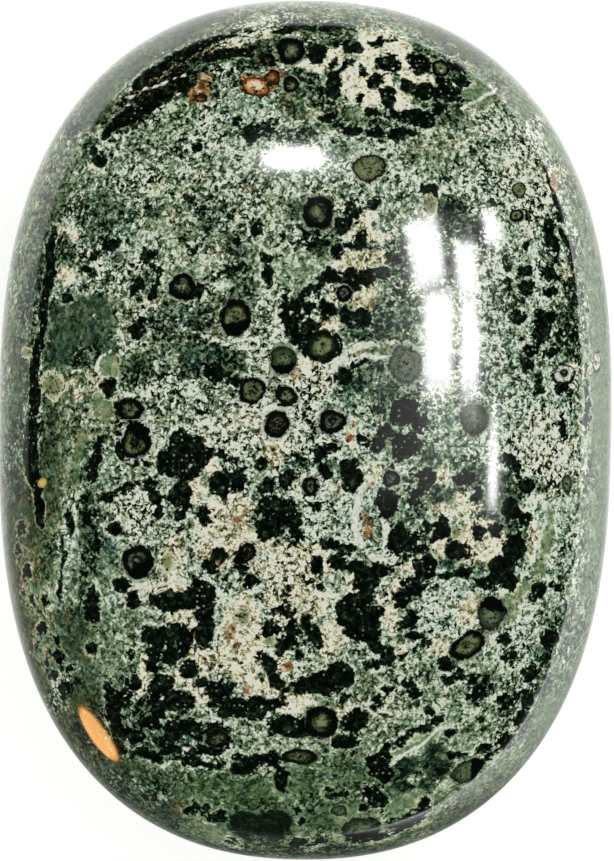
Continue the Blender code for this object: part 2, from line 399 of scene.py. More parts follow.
# %% Black bodies with crisp edges
BLACK = {
    "left flank": [(22, 528, 3, 5), (19, 550, 2, 4), (27, 572, 3, 4), (24, 590, 2, 4), (33, 603, 3, 5),
        (41, 628, 4, 4), (38, 646, 2, 4), (48, 660, 3, 6), (54, 676, 4, 4), (62, 694, 3, 5), (46, 600, 2, 5),
        (57, 640, 2, 6)],
    "north": [(317, 53, 10), (354, 47, 8, 5), (333, 62, 6), (376, 80, 10, 8), (375, 44, 7, 5),
        (388, 63, 12, 9), (406, 85, 7, 6), (389, 98, 8, 11), (419, 65, 11, 8), (424, 91, 11, 8),
        (448, 93, 11, 8), (463, 81, 6, 5), (421, 118, 12, 8), (335, 84, 7, 12), (395, 36, 8, 3),
        (441, 82, 6, 5), (398, 114, 9, 5), (373, 112, 7, 4), (360, 98, 4, 5), (408, 34, 5, 3),
        (350, 64, 4, 3), (362, 70, 3, 4), (410, 56, 4, 3), (330, 117, 8, 5), (352, 130, 12, 4, -10),
        (376, 134, 10, 3), (402, 134, 12, 4, 10), (440, 108, 7, 6), (456, 66, 6, 4), (280, 29, 5, 3),
        (252, 133, 8, 9), (237, 120, 4), (430, 190, 9, 6)],
    "upper left": [(197, 147, 6), (100, 160, 6), (94, 152, 4), (173, 194, 3), (86, 268, 9, 5, -35),
        (112, 247, 8, 6, 40), (150, 254, 8, 4), (193, 250, 6, 7), (135, 286, 6, 8), (154, 292, 5, 9),
        (137, 329, 9, 9), (157, 272, 3, 9), (109, 388, 7, 8), (126, 402, 5, 3), (95, 254, 5, 6),
        (66, 298, 5, 3), (197, 291, 5, 8)],
    "above the middle": [(343, 227, 8), (352, 210, 9, 8), (372, 203, 8, 5), (360, 236, 6, 6),
        (359, 246, 7, 5), (338, 251, 4, 7), (330, 276, 10, 7), (350, 277, 9, 7), (355, 286, 6, 5),
        (367, 277, 8), (383, 273, 6), (316, 291, 9, 6), (303, 296, 6, 4), (285, 296, 4), (298, 304, 8, 6),
        (290, 316, 10, 15), (309, 330, 9, 12), (327, 309, 9), (309, 308, 6, 5), (361, 319, 9),
        (346, 313, 4, 6), (269, 275, 5, 8, -20), (266, 257, 6, 5), (257, 228, 6, 7), (215, 372, 10, 9),
        (235, 380, 10, 4), (348, 322, 4, 4), (345, 378, 6, 5, 40)],
    "left middle": [(182, 448, 14, 19), (196, 452, 8, 12), (170, 463, 12, 14), (190, 475, 11, 7),
        (181, 496, 11, 13), (150, 488, 6, 7), (157, 501, 7, 7), (157, 513, 4, 4), (115, 528, 8),
        (204, 515, 7, 12), (200, 452, 7, 14), (108, 497, 10, 4, 20), (130, 487, 10, 3, 25), (92, 470, 6, 10),
        (99, 450, 4, 11), (120, 586, 7, 7), (134, 598, 6, 9), (92, 598, 6, 10), (70, 522, 3, 10),
        (63, 545, 2, 9), (180, 513, 6, 5), (215, 455, 12, 3)],
    "middle": [(222, 486, 10, 13), (237, 481, 9, 10), (225, 478, 14, 6), (260, 465, 6), (237, 462, 9, 3),
        (266, 486, 7), (288, 478, 7, 9, -40), (318, 452, 9, 8), (333, 444, 6, 7), (321, 466, 6, 6),
        (327, 474, 6, 5), (312, 486, 9, 8), (350, 465, 9, 7, -35), (354, 479, 10, 11), (316, 509, 6, 5),
        (385, 433, 7), (375, 447, 7, 6), (366, 440, 6, 5), (398, 450, 6, 8), (388, 505, 11, 13),
        (380, 497, 7, 6), (296, 535, 6, 8), (293, 522, 7, 8), (272, 505, 16, 8), (268, 528, 12, 12),
        (285, 514, 10, 10), (330, 543, 11, 6), (346, 549, 7, 4), (391, 540, 7, 11), (210, 565, 8, 7),
        (219, 556, 8, 9), (243, 568, 6, 9), (251, 583, 8, 7), (240, 552, 6, 5), (316, 566, 7, 9),
        (335, 563, 6, 6), (308, 582, 7, 5), (318, 587, 6, 4), (288, 592, 5, 7)],
    "bow tie": [(356, 567, 11, 7), (366, 580, 12, 12), (380, 570, 10, 8), (362, 598, 12, 9),
        (350, 610, 13, 12), (370, 612, 12, 8), (363, 629, 18, 13), (345, 618, 8, 8)],
    "right middle": [(405, 412, 14, 12), (421, 422, 6, 7), (407, 445, 14, 11), (427, 478, 8, 9),
        (465, 478, 9, 7), (476, 496, 5, 8), (415, 497, 6, 7), (443, 528, 8, 9), (428, 527, 5),
        (437, 538, 6, 5), (479, 531, 7, 8), (495, 532, 6, 7), (458, 550, 11, 10), (511, 509, 9, 10),
        (525, 520, 5, 6), (515, 548, 11, 13), (502, 570, 14, 13), (488, 583, 15, 6), (510, 582, 8, 8),
        (461, 573, 7, 4), (425, 568, 11, 12), (412, 586, 13, 9), (401, 598, 9, 8), (446, 575, 5, 3),
        (526, 485, 7, 7), (510, 460, 8, 6), (519, 468, 4, 8), (400, 530, 6, 8), (408, 543, 9, 8),
        (422, 550, 6, 5)],
    "right edge": [(560, 217, 5, 6), (549, 228, 6, 10), (552, 243, 8, 6), (563, 238, 4, 7),
        (572, 250, 4, 12), (525, 271, 7, 7), (526, 287, 6, 8), (549, 275, 8, 7), (543, 322, 9, 12),
        (540, 335, 8, 8), (549, 318, 7, 6), (551, 354, 8, 5), (531, 350, 8, 6), (527, 365, 5, 8),
        (504, 256, 3, 4), (505, 268, 4, 3), (526, 244, 4, 4), (548, 293, 8, 5), (518, 318, 7, 6),
        (575, 336, 5, 7), (587, 400, 2, 20), (562, 388, 6, 6), (563, 430, 3, 10), (538, 385, 4, 8)],
    "lower left": [(180, 601, 32, 9), (201, 592, 14, 14), (204, 625, 9, 26), (160, 637, 18, 10),
        (178, 632, 10, 8), (186, 640, 8, 14), (172, 655, 10, 9), (190, 670, 9, 9), (200, 683, 9, 6),
        (220, 689, 14, 9), (162, 688, 12, 13), (157, 710, 8, 12), (134, 684, 7, 7), (177, 700, 12, 10),
        (188, 702, 6, 9), (180, 727, 20, 7), (130, 655, 4), (93, 612, 7, 14), (93, 648, 5), (154, 655, 8, 7),
        (62, 690, 4, 9), (58, 655, 4, 5), (70, 668, 4, 3), (150, 668, 6, 5), (215, 730, 13, 4),
        (190, 761, 24, 4, -6), (168, 750, 10, 5), (225, 712, 8, 8), (113, 712, 7, 26, 10), (125, 700, 8, 12),
        (133, 736, 10, 8), (150, 755, 16, 5, -20), (172, 737, 8, 5), (205, 752, 16, 5), (224, 742, 7, 6),
        (150, 722, 9, 5), (118, 745, 5, 8, 30), (160, 741, 5, 4), (196, 738, 5, 4)],
    "lower middle": [(270, 629, 10, 7), (307, 622, 6, 9), (314, 633, 7, 9), (286, 612, 7, 7),
        (275, 613, 5, 3), (294, 625, 5, 13), (281, 648, 5, 9), (290, 642, 9, 5), (300, 655, 5, 4),
        (262, 656, 5, 6), (268, 667, 7, 8), (277, 680, 9, 8, -40), (288, 688, 8, 5), (311, 628, 4, 9),
        (318, 640, 6, 7), (304, 686, 11, 8), (322, 682, 14, 12), (340, 676, 14, 13), (371, 665, 8, 6),
        (388, 655, 6, 9), (376, 647, 6, 6), (343, 700, 6, 7), (378, 700, 4, 7), (373, 707, 4, 3),
        (388, 690, 6, 3, 20), (355, 722, 13, 11), (236, 710, 13, 7), (256, 714, 12, 6),
        (272, 706, 12, 5, 15), (347, 741, 9, 6), (338, 742, 7, 6), (290, 727, 20, 11), (240, 703, 26, 6),
        (262, 758, 22, 5), (281, 726, 9, 9), (252, 762, 9, 8), (279, 775, 4, 14), (273, 762, 5, 5),
        (330, 790, 3), (331, 797, 5, 3), (345, 795, 4, 3), (245, 770, 12, 5), (388, 758, 3, 4)],
    "lower right": [(410, 620, 7, 8), (402, 627, 6, 3), (415, 636, 9, 4, -20), (405, 654, 9, 4, 30),
        (425, 643, 5, 4), (445, 665, 7, 8), (448, 679, 5, 4), (410, 684, 5, 6), (415, 693, 5, 4),
        (460, 673, 6, 5), (474, 677, 4, 3), (480, 692, 6, 5, -20), (470, 698, 5, 3), (429, 711, 3),
        (475, 705, 4, 3), (505, 639, 7, 6), (508, 655, 7, 5), (513, 666, 3, 3), (530, 674, 8, 9),
        (545, 657, 6, 5), (505, 703, 8, 8), (517, 697, 4, 4), (484, 748, 7, 6), (450, 732, 6, 4),
        (458, 756, 8, 3), (550, 640, 8, 9), (540, 590, 6, 9), (532, 600, 5, 4), (556, 588, 6, 5),
        (425, 806, 6, 8), (528, 700, 6, 8), (520, 718, 5, 8, -30), (505, 742, 8, 6, 45),
        (488, 757, 6, 5, 40), (482, 719, 5, 3)],
    "foot": [(407, 822, 20, 7, 20), (365, 836, 20, 6, 4), (368, 793, 4, 9), (378, 791, 5, 8),
        (383, 802, 3, 7), (364, 806, 3), (371, 804, 3), (303, 843, 10, 4), (322, 842, 4), (297, 810, 3, 4),
        (300, 820, 3, 3), (310, 833, 3), (185, 812, 3), (196, 808, 4, 6), (206, 808, 4, 5), (213, 818, 4, 3),
        (222, 817, 3, 6), (234, 842, 5, 3), (284, 783, 3, 8)],
}

# %% Black bands along lines, with half their width
BLACK_LINES = {
    # The bands along the left rim are a painted dark reflection, black in the colour where the polish mirrors
    # something dark.
    "dark reflection along the left rim": (5, [(54, 232), (50, 250), (52, 268), (47, 285), (43, 305), (43, 325), (38, 345),
        (34, 370), (33, 400), (33, 430), (34, 460), (38, 490), (41, 522)]),
    "dark reflection outside the left rim": (7, [(36, 395), (30, 430), (28, 460), (33, 480)]),
    "wedge on the upper left, foot": (6, [(105, 134), (112, 126), (124, 120)]),
    "wedge on the upper left": (8, [(122, 120), (134, 112), (150, 103), (166, 95)]),
    "wedge on the upper left, upper part": (7, [(138, 84), (150, 74), (166, 64), (184, 54), (204, 44)]),
    "wedge on the upper left, point": (4, [(204, 43), (226, 35), (250, 30)]),
    # A painted dark reflection along the top rim.
    "dark reflection along the top rim": (4, [(276, 32), (300, 27), (330, 27), (356, 28)]),
    "under the wedge": (4, [(218, 53), (232, 52), (246, 54)]),
    "bar": (3.6, [(374, 756), (398, 742), (420, 730), (440, 719)]),
    "wedge under the bar": (8, [(374, 758), (380, 772), (386, 776)]),
    "left of the stacked eyes": (3, [(118, 396), (118, 430), (120, 452), (132, 464), (150, 462)]),
    "around the middle eye": (5, [(287, 322), (296, 340), (308, 354), (324, 358), (338, 350)]),
    "over the grey eye": (2.5, [(328, 384), (336, 376), (350, 366), (365, 360)]),
    "right edge, top": (3, [(545, 168), (552, 190), (562, 215)]),
    "right line": (1.2, [(586, 300), (587, 340), (588, 380), (588, 430)]),
    "thin line on the left": (1.5, [(62, 560), (62, 590), (58, 605)]),
}

# %% Pale veins and rims, with half their width
VEINS = {
    "flank streaks, upper left": (1.8, [(153, 58), (160, 53), (166, 54), (172, 50)]),
    "flank streak, top": (1.8, [(210, 28), (216, 23), (222, 22)]),
    "under the green eye": (2.5, [(222, 326), (232, 336), (246, 342), (258, 339)]),
    "left of the middle": (2.0, [(202, 336), (220, 343), (243, 348), (262, 350), (266, 365), (275, 378)]),
    "over the middle": (2.2, [(278, 345), (292, 351), (300, 360), (318, 363), (336, 360), (346, 352),
        (360, 345), (400, 343)]),
    "over the grey eye": (1.8, [(322, 384), (334, 372), (350, 364), (366, 358), (385, 360)]),
    "vase, left side": (3.4, [(366, 486), (358, 500), (354, 520), (357, 540), (368, 554), (392, 562)]),
    "vase, right side": (3.4, [(374, 486), (379, 505), (386, 525), (385, 545), (396, 560)]),
    "rim of the bent body": (1.5, [(140, 612), (152, 596), (175, 586), (205, 577), (222, 592), (226, 610),
        (216, 628), (216, 648)]),
    "left of the middle, upper": (1.8, [(176, 318), (186, 330), (200, 337), (208, 345)]),
    "left of the middle, lower": (1.8, [(262, 350), (268, 362), (266, 376), (258, 398), (246, 404),
        (238, 396)]),
    "around the brown eye": (2.1, [(262, 424), (265, 410), (277, 406), (289, 412), (292, 428), (284, 440),
        (270, 440), (262, 424)]),
    "row of strands": (1.6, [(182, 388), (196, 384), (210, 388), (222, 398), (236, 402)]),
    "under the arch eye": (1.6, [(270, 384), (268, 396), (276, 404)]),
    "from the middle eye to the right": (2.2, [(340, 358), (356, 348), (372, 344), (392, 343), (410, 342)]),
    "over the charcoal": (2.2, [(326, 376), (336, 366), (352, 358), (370, 354), (388, 356), (392, 366)]),
    "rim of the charcoal": (1.9, [(352, 440), (362, 455), (376, 462), (398, 466), (420, 462)]),
    "crossing on the left": (1.6, [(130, 322), (150, 330), (168, 334), (184, 330)]),
    "over the left orbs": (2, [(178, 472), (190, 465), (204, 470)]),
    "under the bar": (2, [(386, 768), (408, 752), (428, 738), (443, 727)]),
    "left of the dark reflection": (1.6, [(24, 405), (27, 425), (22, 440)]),
    "crescent on the left": (1.8, [(112, 352), (101, 358), (96, 370), (102, 379), (110, 378)]),
    "white edge of the lime disc": (1.6, [(460, 108), (480, 100), (497, 88)]),
    "dash on the left": (2.4, [(122, 396), (134, 395)]),
    "streak in the dark corner": (2, [(186, 748), (198, 754), (208, 756)]),
    "rim of the eye on the right": (1.6, [(590, 440), (584, 455), (586, 475), (596, 480)]),
    "row under the orbs": (2, [(128, 590), (150, 586), (185, 580)]),
    "cream by the lower right eye": (2.2, [(486, 648), (494, 638), (496, 628)]),
}

# %% Rust and amber stains, and small painted highlights: glints of light painted white into the colour
STAINS = {
    "around the orange spot": [(256, 85, 17, 10, -14), (274, 78, 11, 9), (246, 80, 8, 5)],
    "brown in the wedge": [(199, 94, 11, 9), (205, 78, 7, 5)],
    "middle": [(366, 518, 4, 5), (367, 532, 6, 7), (351, 425, 3, 4), (351, 438, 4, 5), (370, 487, 4, 3)],
    "great patch": [(243, 513, 2, 8), (236, 521, 7, 4), (218, 562, 9, 5), (244, 552, 6, 4)],
    "lower left": [(231, 632, 4, 8, -20), (236, 645, 3, 5, -20), (247, 690, 4, 4), (288, 666, 5, 4),
        (295, 373, 6, 4)],
    "right flank": [(516, 216, 4, 4), (555, 182, 4, 11)],
}
# Painted highlights: glints of light on the polish, laid into the colour as white marks.
PAINTED_GLINTS = {
    "row in the wedge": [(146, 89, 4, 2, 25), (156, 86, 3, 2, 20), (164, 83, 4, 2, 20),
        (174, 79, 3, 1.5, 20), (184, 75, 3, 2, 25), (131, 97, 5, 1.4, 5), (179, 96, 4, 1.6, 15)],
    "left": [(93, 314, 2), (94, 317, 1.2), (99, 338, 1.5), (79, 345, 1.5), (48, 343, 1.2), (113, 254, 2),
        (17, 366, 1.6)],
    "left strokes": [(145, 303, 5, 2, -30), (154, 306, 4, 2), (142, 314, 5, 2, 20), (156, 309, 2)],
    "middle": [(292, 312, 3, 2), (292, 317, 2), (392, 478, 2, 3), (328, 310, 1.5), (384, 500, 1.5),
        (214, 493, 2)],
    "black bodies": [(171, 439, 1.2), (408, 455, 2.2, 1.6), (391, 655, 2.6, 2), (336, 742, 1.6),
        (270, 632, 1.5)],
    "lower left": [(132, 724, 5, 1.5, -40), (161, 698, 3, 2, 20), (127, 697, 1.5), (135, 729, 1.2),
        (231, 745, 2, 3)],
    "north": [(386, 63, 2.5, 1.5), (393, 68, 1.5), (437, 66, 1.5), (442, 71, 1.5), (132, 96, 5, 1.5),
        (131, 104, 5, 1.5)],
}

# %% Eyes: ringed orbs, by the style of their rings
# After its turn, an eye with a black side has the way to that side, in degrees.
EYES = {
    "olive": [(441, 68, 9, 9), (517, 216, 6, 6), (235, 318, 15, 17, -20, -50), (468, 646, 19, 11, 40)],
    "pale core": [(291, 50, 14, 13), (290, 84, 8, 8), (318, 213, 15, 16), (183, 287, 13, 13),
        (130, 410, 13, 12), (321, 723, 17, 15)],
    "green disc": [(284, 360, 12, 14, 0, -90), (475, 419, 15, 15), (492, 613, 14, 16, 0, 80),
        (468, 771, 17, 10, 30, -20), (362, 829, 20, 11, 5, -80), (340, 811, 8, 6), (567, 484, 5, 9)],
    "lime disc": [(430, 206, 7, 12), (52, 386, 12, 12), (27, 353, 5, 6), (456, 531, 6, 7), (168, 562, 6, 10),
        (243, 618, 7, 8), (270, 641, 6, 5)],
    "rings": [(332, 421, 13, 12), (344, 293, 9, 9), (311, 485, 9, 9), (391, 479, 8, 9),
        (137, 562, 15, 16, 0, -60)],
    "grey": [(451, 50, 9, 6), (118, 257, 6, 6), (405, 365, 17, 19)],
    "brown": [(277, 424, 13, 14), (245, 555, 9, 12, -40, -120)],
    "slit": [(323, 346, 15, 13, 10)],
    "arch": [(286, 395, 12, 8, -20)],
    "dark olive": [(299, 757, 16, 8), (217, 739, 11, 9)],
    "olive arc": [(252, 390, 13, 14, -30), (136, 441, 15, 18, 0, 60)],
    "thin ring": [(370, 168, 17, 13), (519, 190, 7, 8)],
    "amber bead": [(42, 482, 5, 6)],
    "rust patch": [(200, 98, 6, 4), (272, 79, 8, 6, 30)],
    # The orange patch is an orange stain whose near-white middle is a painted reflection of a warm lamp.
    "orange patch": [(254, 87, 13, 8, -14)],
    "white ring": [(564, 374, 10, 9), (597, 362, 4, 10)],
}
print("areas", sum(len(entries) for _, _, entries in BROAD_AREAS + AREAS))
print("black bodies", sum(map(len, BLACK.values())), "eyes", sum(map(len, EYES.values())))

# %% [markdown]
# From places to fields. Drawing each orb as a mesh would make a bumpy stone, but the real pattern lies in a
# flat polish. So each point of the skin stores how deep it lies inside the nearest orb, vein or area, as
# named attributes, and the material turns those numbers into colours with edges finer than the mesh. An orb
# is measured in the plane that touches the stone at its middle, so it wraps the flank without a smear.

# %% Measures between the skin's points and the placed shapes
points = np.empty(len(stone_mesh.vertices) * 3)
stone_mesh.vertices.foreach_get("co", points)
points = points.reshape(-1, 3) / MM - (0, 0, BASE_DEPTH)


def wobbled(strength, size):
    """The skin's points moved about by smooth noise, so that what is measured from them is less regular."""
    moves = np.array([noise.noise_vector(Vector(place) / size) for place in points])
    return points + moves * strength


def ring_distance(from_points, middle, first_axis, second_axis, half_width, half_height):
    """Distances from an ellipse's middle, as shares of its radius: 1 on its edge."""
    out = np.cross(first_axis, second_axis)
    out /= np.linalg.norm(out)
    offset = from_points - middle
    offset_out = offset @ out
    flat = offset - offset_out[:, None] * out
    first = flat @ first_axis / half_width
    second = flat @ second_axis / half_height
    third = offset_out / ((half_width + half_height) / 2)
    return np.sqrt(first**2 + second**2 + third**2), first, second


def full_ellipse(x, y, half_width, half_height=None, turn=0.0):
    """An ellipse's five numbers, where a circle has only three and one that isn't turned has four."""
    return x, y, half_width, half_height or half_width, turn


def photo_ellipse(from_points, *entry):
    """Ring distances for an ellipse in the photograph's pixels, and its smaller radius in millimetres."""
    x, y, half_width, half_height, turn = full_ellipse(*entry)
    middle = on_stone(x, y)
    out = outward(middle[None])[0]
    right = np.array([1.0, 0.0, 0.0]) - out * out[0]
    up = np.array([0.0, 1.0, 0.0]) - out * out[1]
    cos, sin = np.cos(np.radians(turn)), np.sin(np.radians(turn))
    distance, first, second = ring_distance(
        from_points, middle, right * cos + up * sin, up * cos - right * sin,
        half_width / PIXELS_PER_MM, half_height / PIXELS_PER_MM,
    )
    return distance, first, second, min(half_width, half_height) / PIXELS_PER_MM


def smooth_step(low, high, value):
    """A share that goes smoothly from 0 at low to 1 at high."""
    share = np.clip((value - low) / (high - low), 0, 1)
    return share * share * (3 - 2 * share)


def deepest(from_points, groups):
    """How far inside the nearest of these ellipses each point is, in millimetres."""
    depth = np.full(len(from_points), -DEEP)
    for entries in groups.values():
        for entry in entries:
            distance, _, _, radius = photo_ellipse(from_points, *entry)
            depth = np.maximum(depth, (1 - distance) * radius)
    return depth


def deepest_on_lines(from_points, groups):
    """How far inside the nearest of these lines each point is, in millimetres."""
    places, half_widths = [], []
    for half_width, corners in groups.values():
        for (x0, y0), (x1, y1) in zip(corners, corners[1:]):
            steps = max(2, int(np.hypot(x1 - x0, y1 - y0) / PIXELS_PER_STEP))
            share = np.linspace(0, 1, steps)
            places.append(on_stone(x0 + (x1 - x0) * share, y0 + (y1 - y0) * share))
            half_widths += [half_width / PIXELS_PER_MM] * steps
    places = np.concatenate(places)
    tree = KDTree(len(places))
    for index, place in enumerate(places):
        tree.insert(place, index)
    tree.balance()
    found = [tree.find(place) for place in from_points]
    return np.array([half_widths[index] - distance for _, index, distance in found])


# No shape is measured from farther outside it than this many millimetres.
DEEP = 2.0
# A line is measured at steps of this many pixels.
PIXELS_PER_STEP = 1.5
# What is placed on the top fades out between these two heights at the girdle.
TOP_ENDS = -2.5
TOP_IS_WHOLE = 0.5
# Without a seed of its own this noise takes the clock for one, and each run would give another stone.
WOBBLE_SEED = 7
noise.seed_set(WOBBLE_SEED)
broad_wobble = wobbled(strength=0.45, size=2.2)
fine_wobble = wobbled(strength=0.24, size=1.1)
on_top = smooth_step(TOP_ENDS, TOP_IS_WHOLE, points[:, 2])

# %% Paint the areas
FAR_FROM_ALL = -99.0
PLAIN_ROCK = {"lift": 0.0, "grain": 1.0, "specks": 0.5, "flecks": 0.5, "warmth": 0.0, "moss": 0.0}
fields = {name: np.full(len(points), value) for name, value in PLAIN_ROCK.items()}
seen_x, seen_y = to_picture(broad_wobble)


def paint(kind, depth, strength=1.0):
    """Brings the skin's values to those of a kind of area, where the depth says it lies inside."""
    values = dict(zip(KIND_VALUES, AREA_KINDS[kind]))
    share = smooth_step(-values["softness"], values["softness"], depth) * strength
    for name in PLAIN_ROCK:
        fields[name] += (values[name] - fields[name]) * share


def paint_areas(areas):
    """Paints these areas one over the other, each an ellipse or some of them as seen in the photograph."""
    for kind, _, entries in areas:
        depth = np.full(len(points), FAR_FROM_ALL)
        for entry in entries:
            x, y, half_width, half_height, turn = full_ellipse(*entry)
            cos, sin = np.cos(np.radians(turn)), np.sin(np.radians(turn))
            right, up = seen_x - x, y - seen_y
            along, across = right * cos + up * sin, up * cos - right * sin
            distance = np.hypot(along / half_width, across / half_height)
            depth = np.maximum(depth, (1 - distance) * min(half_width, half_height) / PIXELS_PER_MM)
        paint(kind, depth, on_top)


# The flank is calmer and darker than the top, from this height over the girdle down to as far under it.
FLANK_TOP = 5.5
FLANK_STRENGTH = 0.75
paint_areas(BROAD_AREAS)
paint("flank", FLANK_TOP - np.abs(points[:, 2]), FLANK_STRENGTH)
paint_areas(AREAS)

# %% Measure the orbs, veins, stains and painted glints of light
fields["black"] = np.maximum(deepest(fine_wobble, BLACK), deepest_on_lines(fine_wobble, BLACK_LINES))
fields["vein"] = deepest_on_lines(fine_wobble, VEINS)
fields["stain"] = deepest(fine_wobble, STAINS)
fields["painted_glint"] = deepest(fine_wobble, PAINTED_GLINTS)
EYE_STYLES = list(EYES)
# The last styles of the list are each seen once or twice, so they aren't strewn on the unseen side.
RARE_STYLES = 4
fields["eye"] = np.full(len(points), DEEP)
fields["eye_style"] = np.zeros(len(points))
fields["eye_shade"] = np.zeros(len(points))


def add_eye(distance, first, second, style, dark_side=None):
    """Stores an eye on the points that are nearer to it, by share of its radius, than to any other."""
    nearer = distance < fields["eye"]
    shade = np.full(len(distance), -1.0)
    if dark_side is not None:
        shade = first * np.cos(np.radians(dark_side)) + second * np.sin(np.radians(dark_side))
    fields["eye"] = np.where(nearer, distance, fields["eye"])
    fields["eye_style"] = np.where(nearer, EYE_STYLES.index(style), fields["eye_style"])
    fields["eye_shade"] = np.where(nearer, shade, fields["eye_shade"])


for style, entries in EYES.items():
    for entry in entries:
        shape, dark_side = entry[:5], entry[5:]
        distance, first, second, _ = photo_ellipse(fine_wobble, *shape)
        add_eye(distance, first, second, style, *dark_side)

# %% [markdown]
# The side that the photograph doesn't show. Below the girdle and underneath, the same rock goes on, so the
# same kinds of areas, orbs and eyes are strewn there by a random generator with a fixed seed: each run of
# this script gives the same stone. Beside the girdle lies a calm belt, as the flank above it is calm too, and
# farther down come patches of cream crystals full of black bodies, like the great patch on the top.

# %% Strew the unseen side
SEED = 31
strewn = np.random.default_rng(SEED)
UNSEEN_BELOW = -0.5
# The pattern grows over the height of the calm belt, from this share of its size.
CALM_BELT = 5.0
SMALLEST_SHARE = 0.4
# The stone is flat, so directions are stretched downwards to reach its underside as densely as its flanks.
DOWNWARD_STRETCH = 2.2
# How many there are of each, and their smallest and largest radius in millimetres.
STREWN_AREAS = 150
AREA_RADII = (0.8, 3.4)
CRYSTAL_PATCHES = 14
PATCH_RADII = (3.5, 6.5)
BODIES_PER_PATCH = 14
PATCH_BODY_RADII = (0.35, 0.85)
LONE_BODIES = 240
LONE_BODY_RADII = (0.25, 0.95)
STREWN_EYES = 34
EYE_RADII = (0.6, 1.3)
# An area's width as a share of its length, a body's length as a share of its width, and the share of a
# patch over which its bodies spread.
AREA_NARROWNESS = 0.6
BODY_LENGTH = 1.3
PATCH_SPREAD = 0.6
STREWN_KINDS = ["cream", "dark speckle", "dark", "pale speckle", "cool speckle", "teal", "white speckle",
                "green speckle"]


def strewn_places(count):
    """Places on the surface below the girdle, with two directions along the surface and a size at each."""
    directions = strewn.normal(size=(count * 3, 3))
    directions[:, 2] = -np.abs(directions[:, 2]) * DOWNWARD_STRETCH
    directions /= np.linalg.norm(directions, axis=1, keepdims=True)
    places = onto_surface(directions * (WIDTH / 2, LENGTH / 2, BELLY_DEPTH))
    places = places[places[:, 2] < UNSEEN_BELOW][:count]
    outs = outward(places)
    firsts = np.cross(outs, strewn.normal(size=outs.shape))
    firsts /= np.linalg.norm(firsts, axis=1, keepdims=True)
    sizes = SMALLEST_SHARE + (1 - SMALLEST_SHARE) * smooth_step(0.0, CALM_BELT, -places[:, 2])
    return zip(places, firsts, np.cross(outs, firsts), sizes)


def paint_strewn_area(kind, middle, first_axis, second_axis, radius):
    """Paints one area of this kind on the unseen side."""
    narrow = radius * AREA_NARROWNESS
    distance, _, _ = ring_distance(broad_wobble, middle, first_axis, second_axis, radius, narrow)
    paint(kind, (1 - distance) * narrow, underneath)


def add_black_body(middle, first_axis, second_axis, radius):
    """Adds one black body to those of the top."""
    length = radius * BODY_LENGTH
    distance, _, _ = ring_distance(fine_wobble, middle, first_axis, second_axis, length, radius)
    fields["black"] = np.maximum(fields["black"], (1 - distance) * radius)


underneath = smooth_step(0.0, CALM_BELT, -points[:, 2])
for middle, first_axis, second_axis, size in strewn_places(STREWN_AREAS):
    radius = strewn.uniform(*AREA_RADII) * size
    kind = STREWN_KINDS[strewn.integers(len(STREWN_KINDS))]
    paint_strewn_area(kind, middle, first_axis, second_axis, radius)
for middle, first_axis, second_axis, size in strewn_places(CRYSTAL_PATCHES):
    radius = strewn.uniform(*PATCH_RADII) * size
    paint_strewn_area("crystals", middle, first_axis, second_axis, radius)
    for along, across in strewn.normal(size=(BODIES_PER_PATCH, 2)) * radius * PATCH_SPREAD:
        spot = onto_surface((middle + first_axis * along + second_axis * across)[None])[0]
        add_black_body(spot, first_axis, second_axis, strewn.uniform(*PATCH_BODY_RADII) * size)
for middle, first_axis, second_axis, size in strewn_places(LONE_BODIES):
    add_black_body(middle, first_axis, second_axis, strewn.uniform(*LONE_BODY_RADII) * size)
for middle, first_axis, second_axis, size in strewn_places(STREWN_EYES):
    radius = strewn.uniform(*EYE_RADII) * size
    distance, first, second = ring_distance(fine_wobble, middle, first_axis, second_axis, radius, radius)
    style = EYE_STYLES[strewn.integers(len(EYE_STYLES) - RARE_STYLES)]
    add_eye(distance, first, second, style)

for name, field in fields.items():
    attribute = stone_mesh.attributes.new(name, "FLOAT", "POINT")
    attribute.data.foreach_set("value", np.clip(field, -DEEP, len(EYE_STYLES)).astype(np.float32))
    print(name, "from", round(float(field.min()), 2), "to", round(float(field.max()), 2))

# %% [markdown]
# The material. A picture of the rock would be the quick way, but it would stop at its pixels and show only
# one side. Here a few layers of noise make the grain at any size, and the stored fields steer them. The nodes
# are made by small helpers, so that the recipe reads as a list of layers.

# %% Helpers that make nodes
# The Mix node has sockets for numbers, vectors and colours one after the other; these are the colours' ones.
FIRST_COLOUR = 6
SECOND_COLOUR = 7
COLOUR_OUT = 2


def screen_colour(red, green, blue):
    """A colour given as it looks on a screen, 0 to 255, as the light values that Blender works in."""
    # The numbers are those of the standard curve for screens: a straight foot and then a power.
    share = np.array([red, green, blue]) / 255
    light = np.where(share <= 0.04045, share / 12.92, ((share + 0.055) / 1.055) ** 2.4)
    return (*light.tolist(), 1.0)


rock = bpy.data.materials.new("polished_kambaba_jasper")
rock.use_nodes = True
nodes = rock.node_tree.nodes
links = rock.node_tree.links
polish = nodes["Principled BSDF"]


def feed(socket, value):
    """Links another node's output to this socket, or sets its number or colour."""
    if isinstance(value, bpy.types.NodeSocket):
        links.new(value, socket)
    else:
        socket.default_value = value


def maths(operation, *values):
    """One sum, product or the like of numbers that change over the surface."""
    node = nodes.new("ShaderNodeMath")
    node.operation = operation
    for socket, value in zip(node.inputs, values):
        feed(socket, value)
    return node.outputs[0]


def vector_maths(operation, *values):
    """The same for places, colours and directions."""
    node = nodes.new("ShaderNodeVectorMath")
    node.operation = operation
    for socket, value in zip(node.inputs, values):
        feed(socket, value)
    return node.outputs["Value" if operation == "LENGTH" else "Vector"]


def stored(name):
    """One of the fields that the skin's points carry."""
    node = nodes.new("ShaderNodeAttribute")
    node.attribute_name = name
    return node.outputs["Fac"]


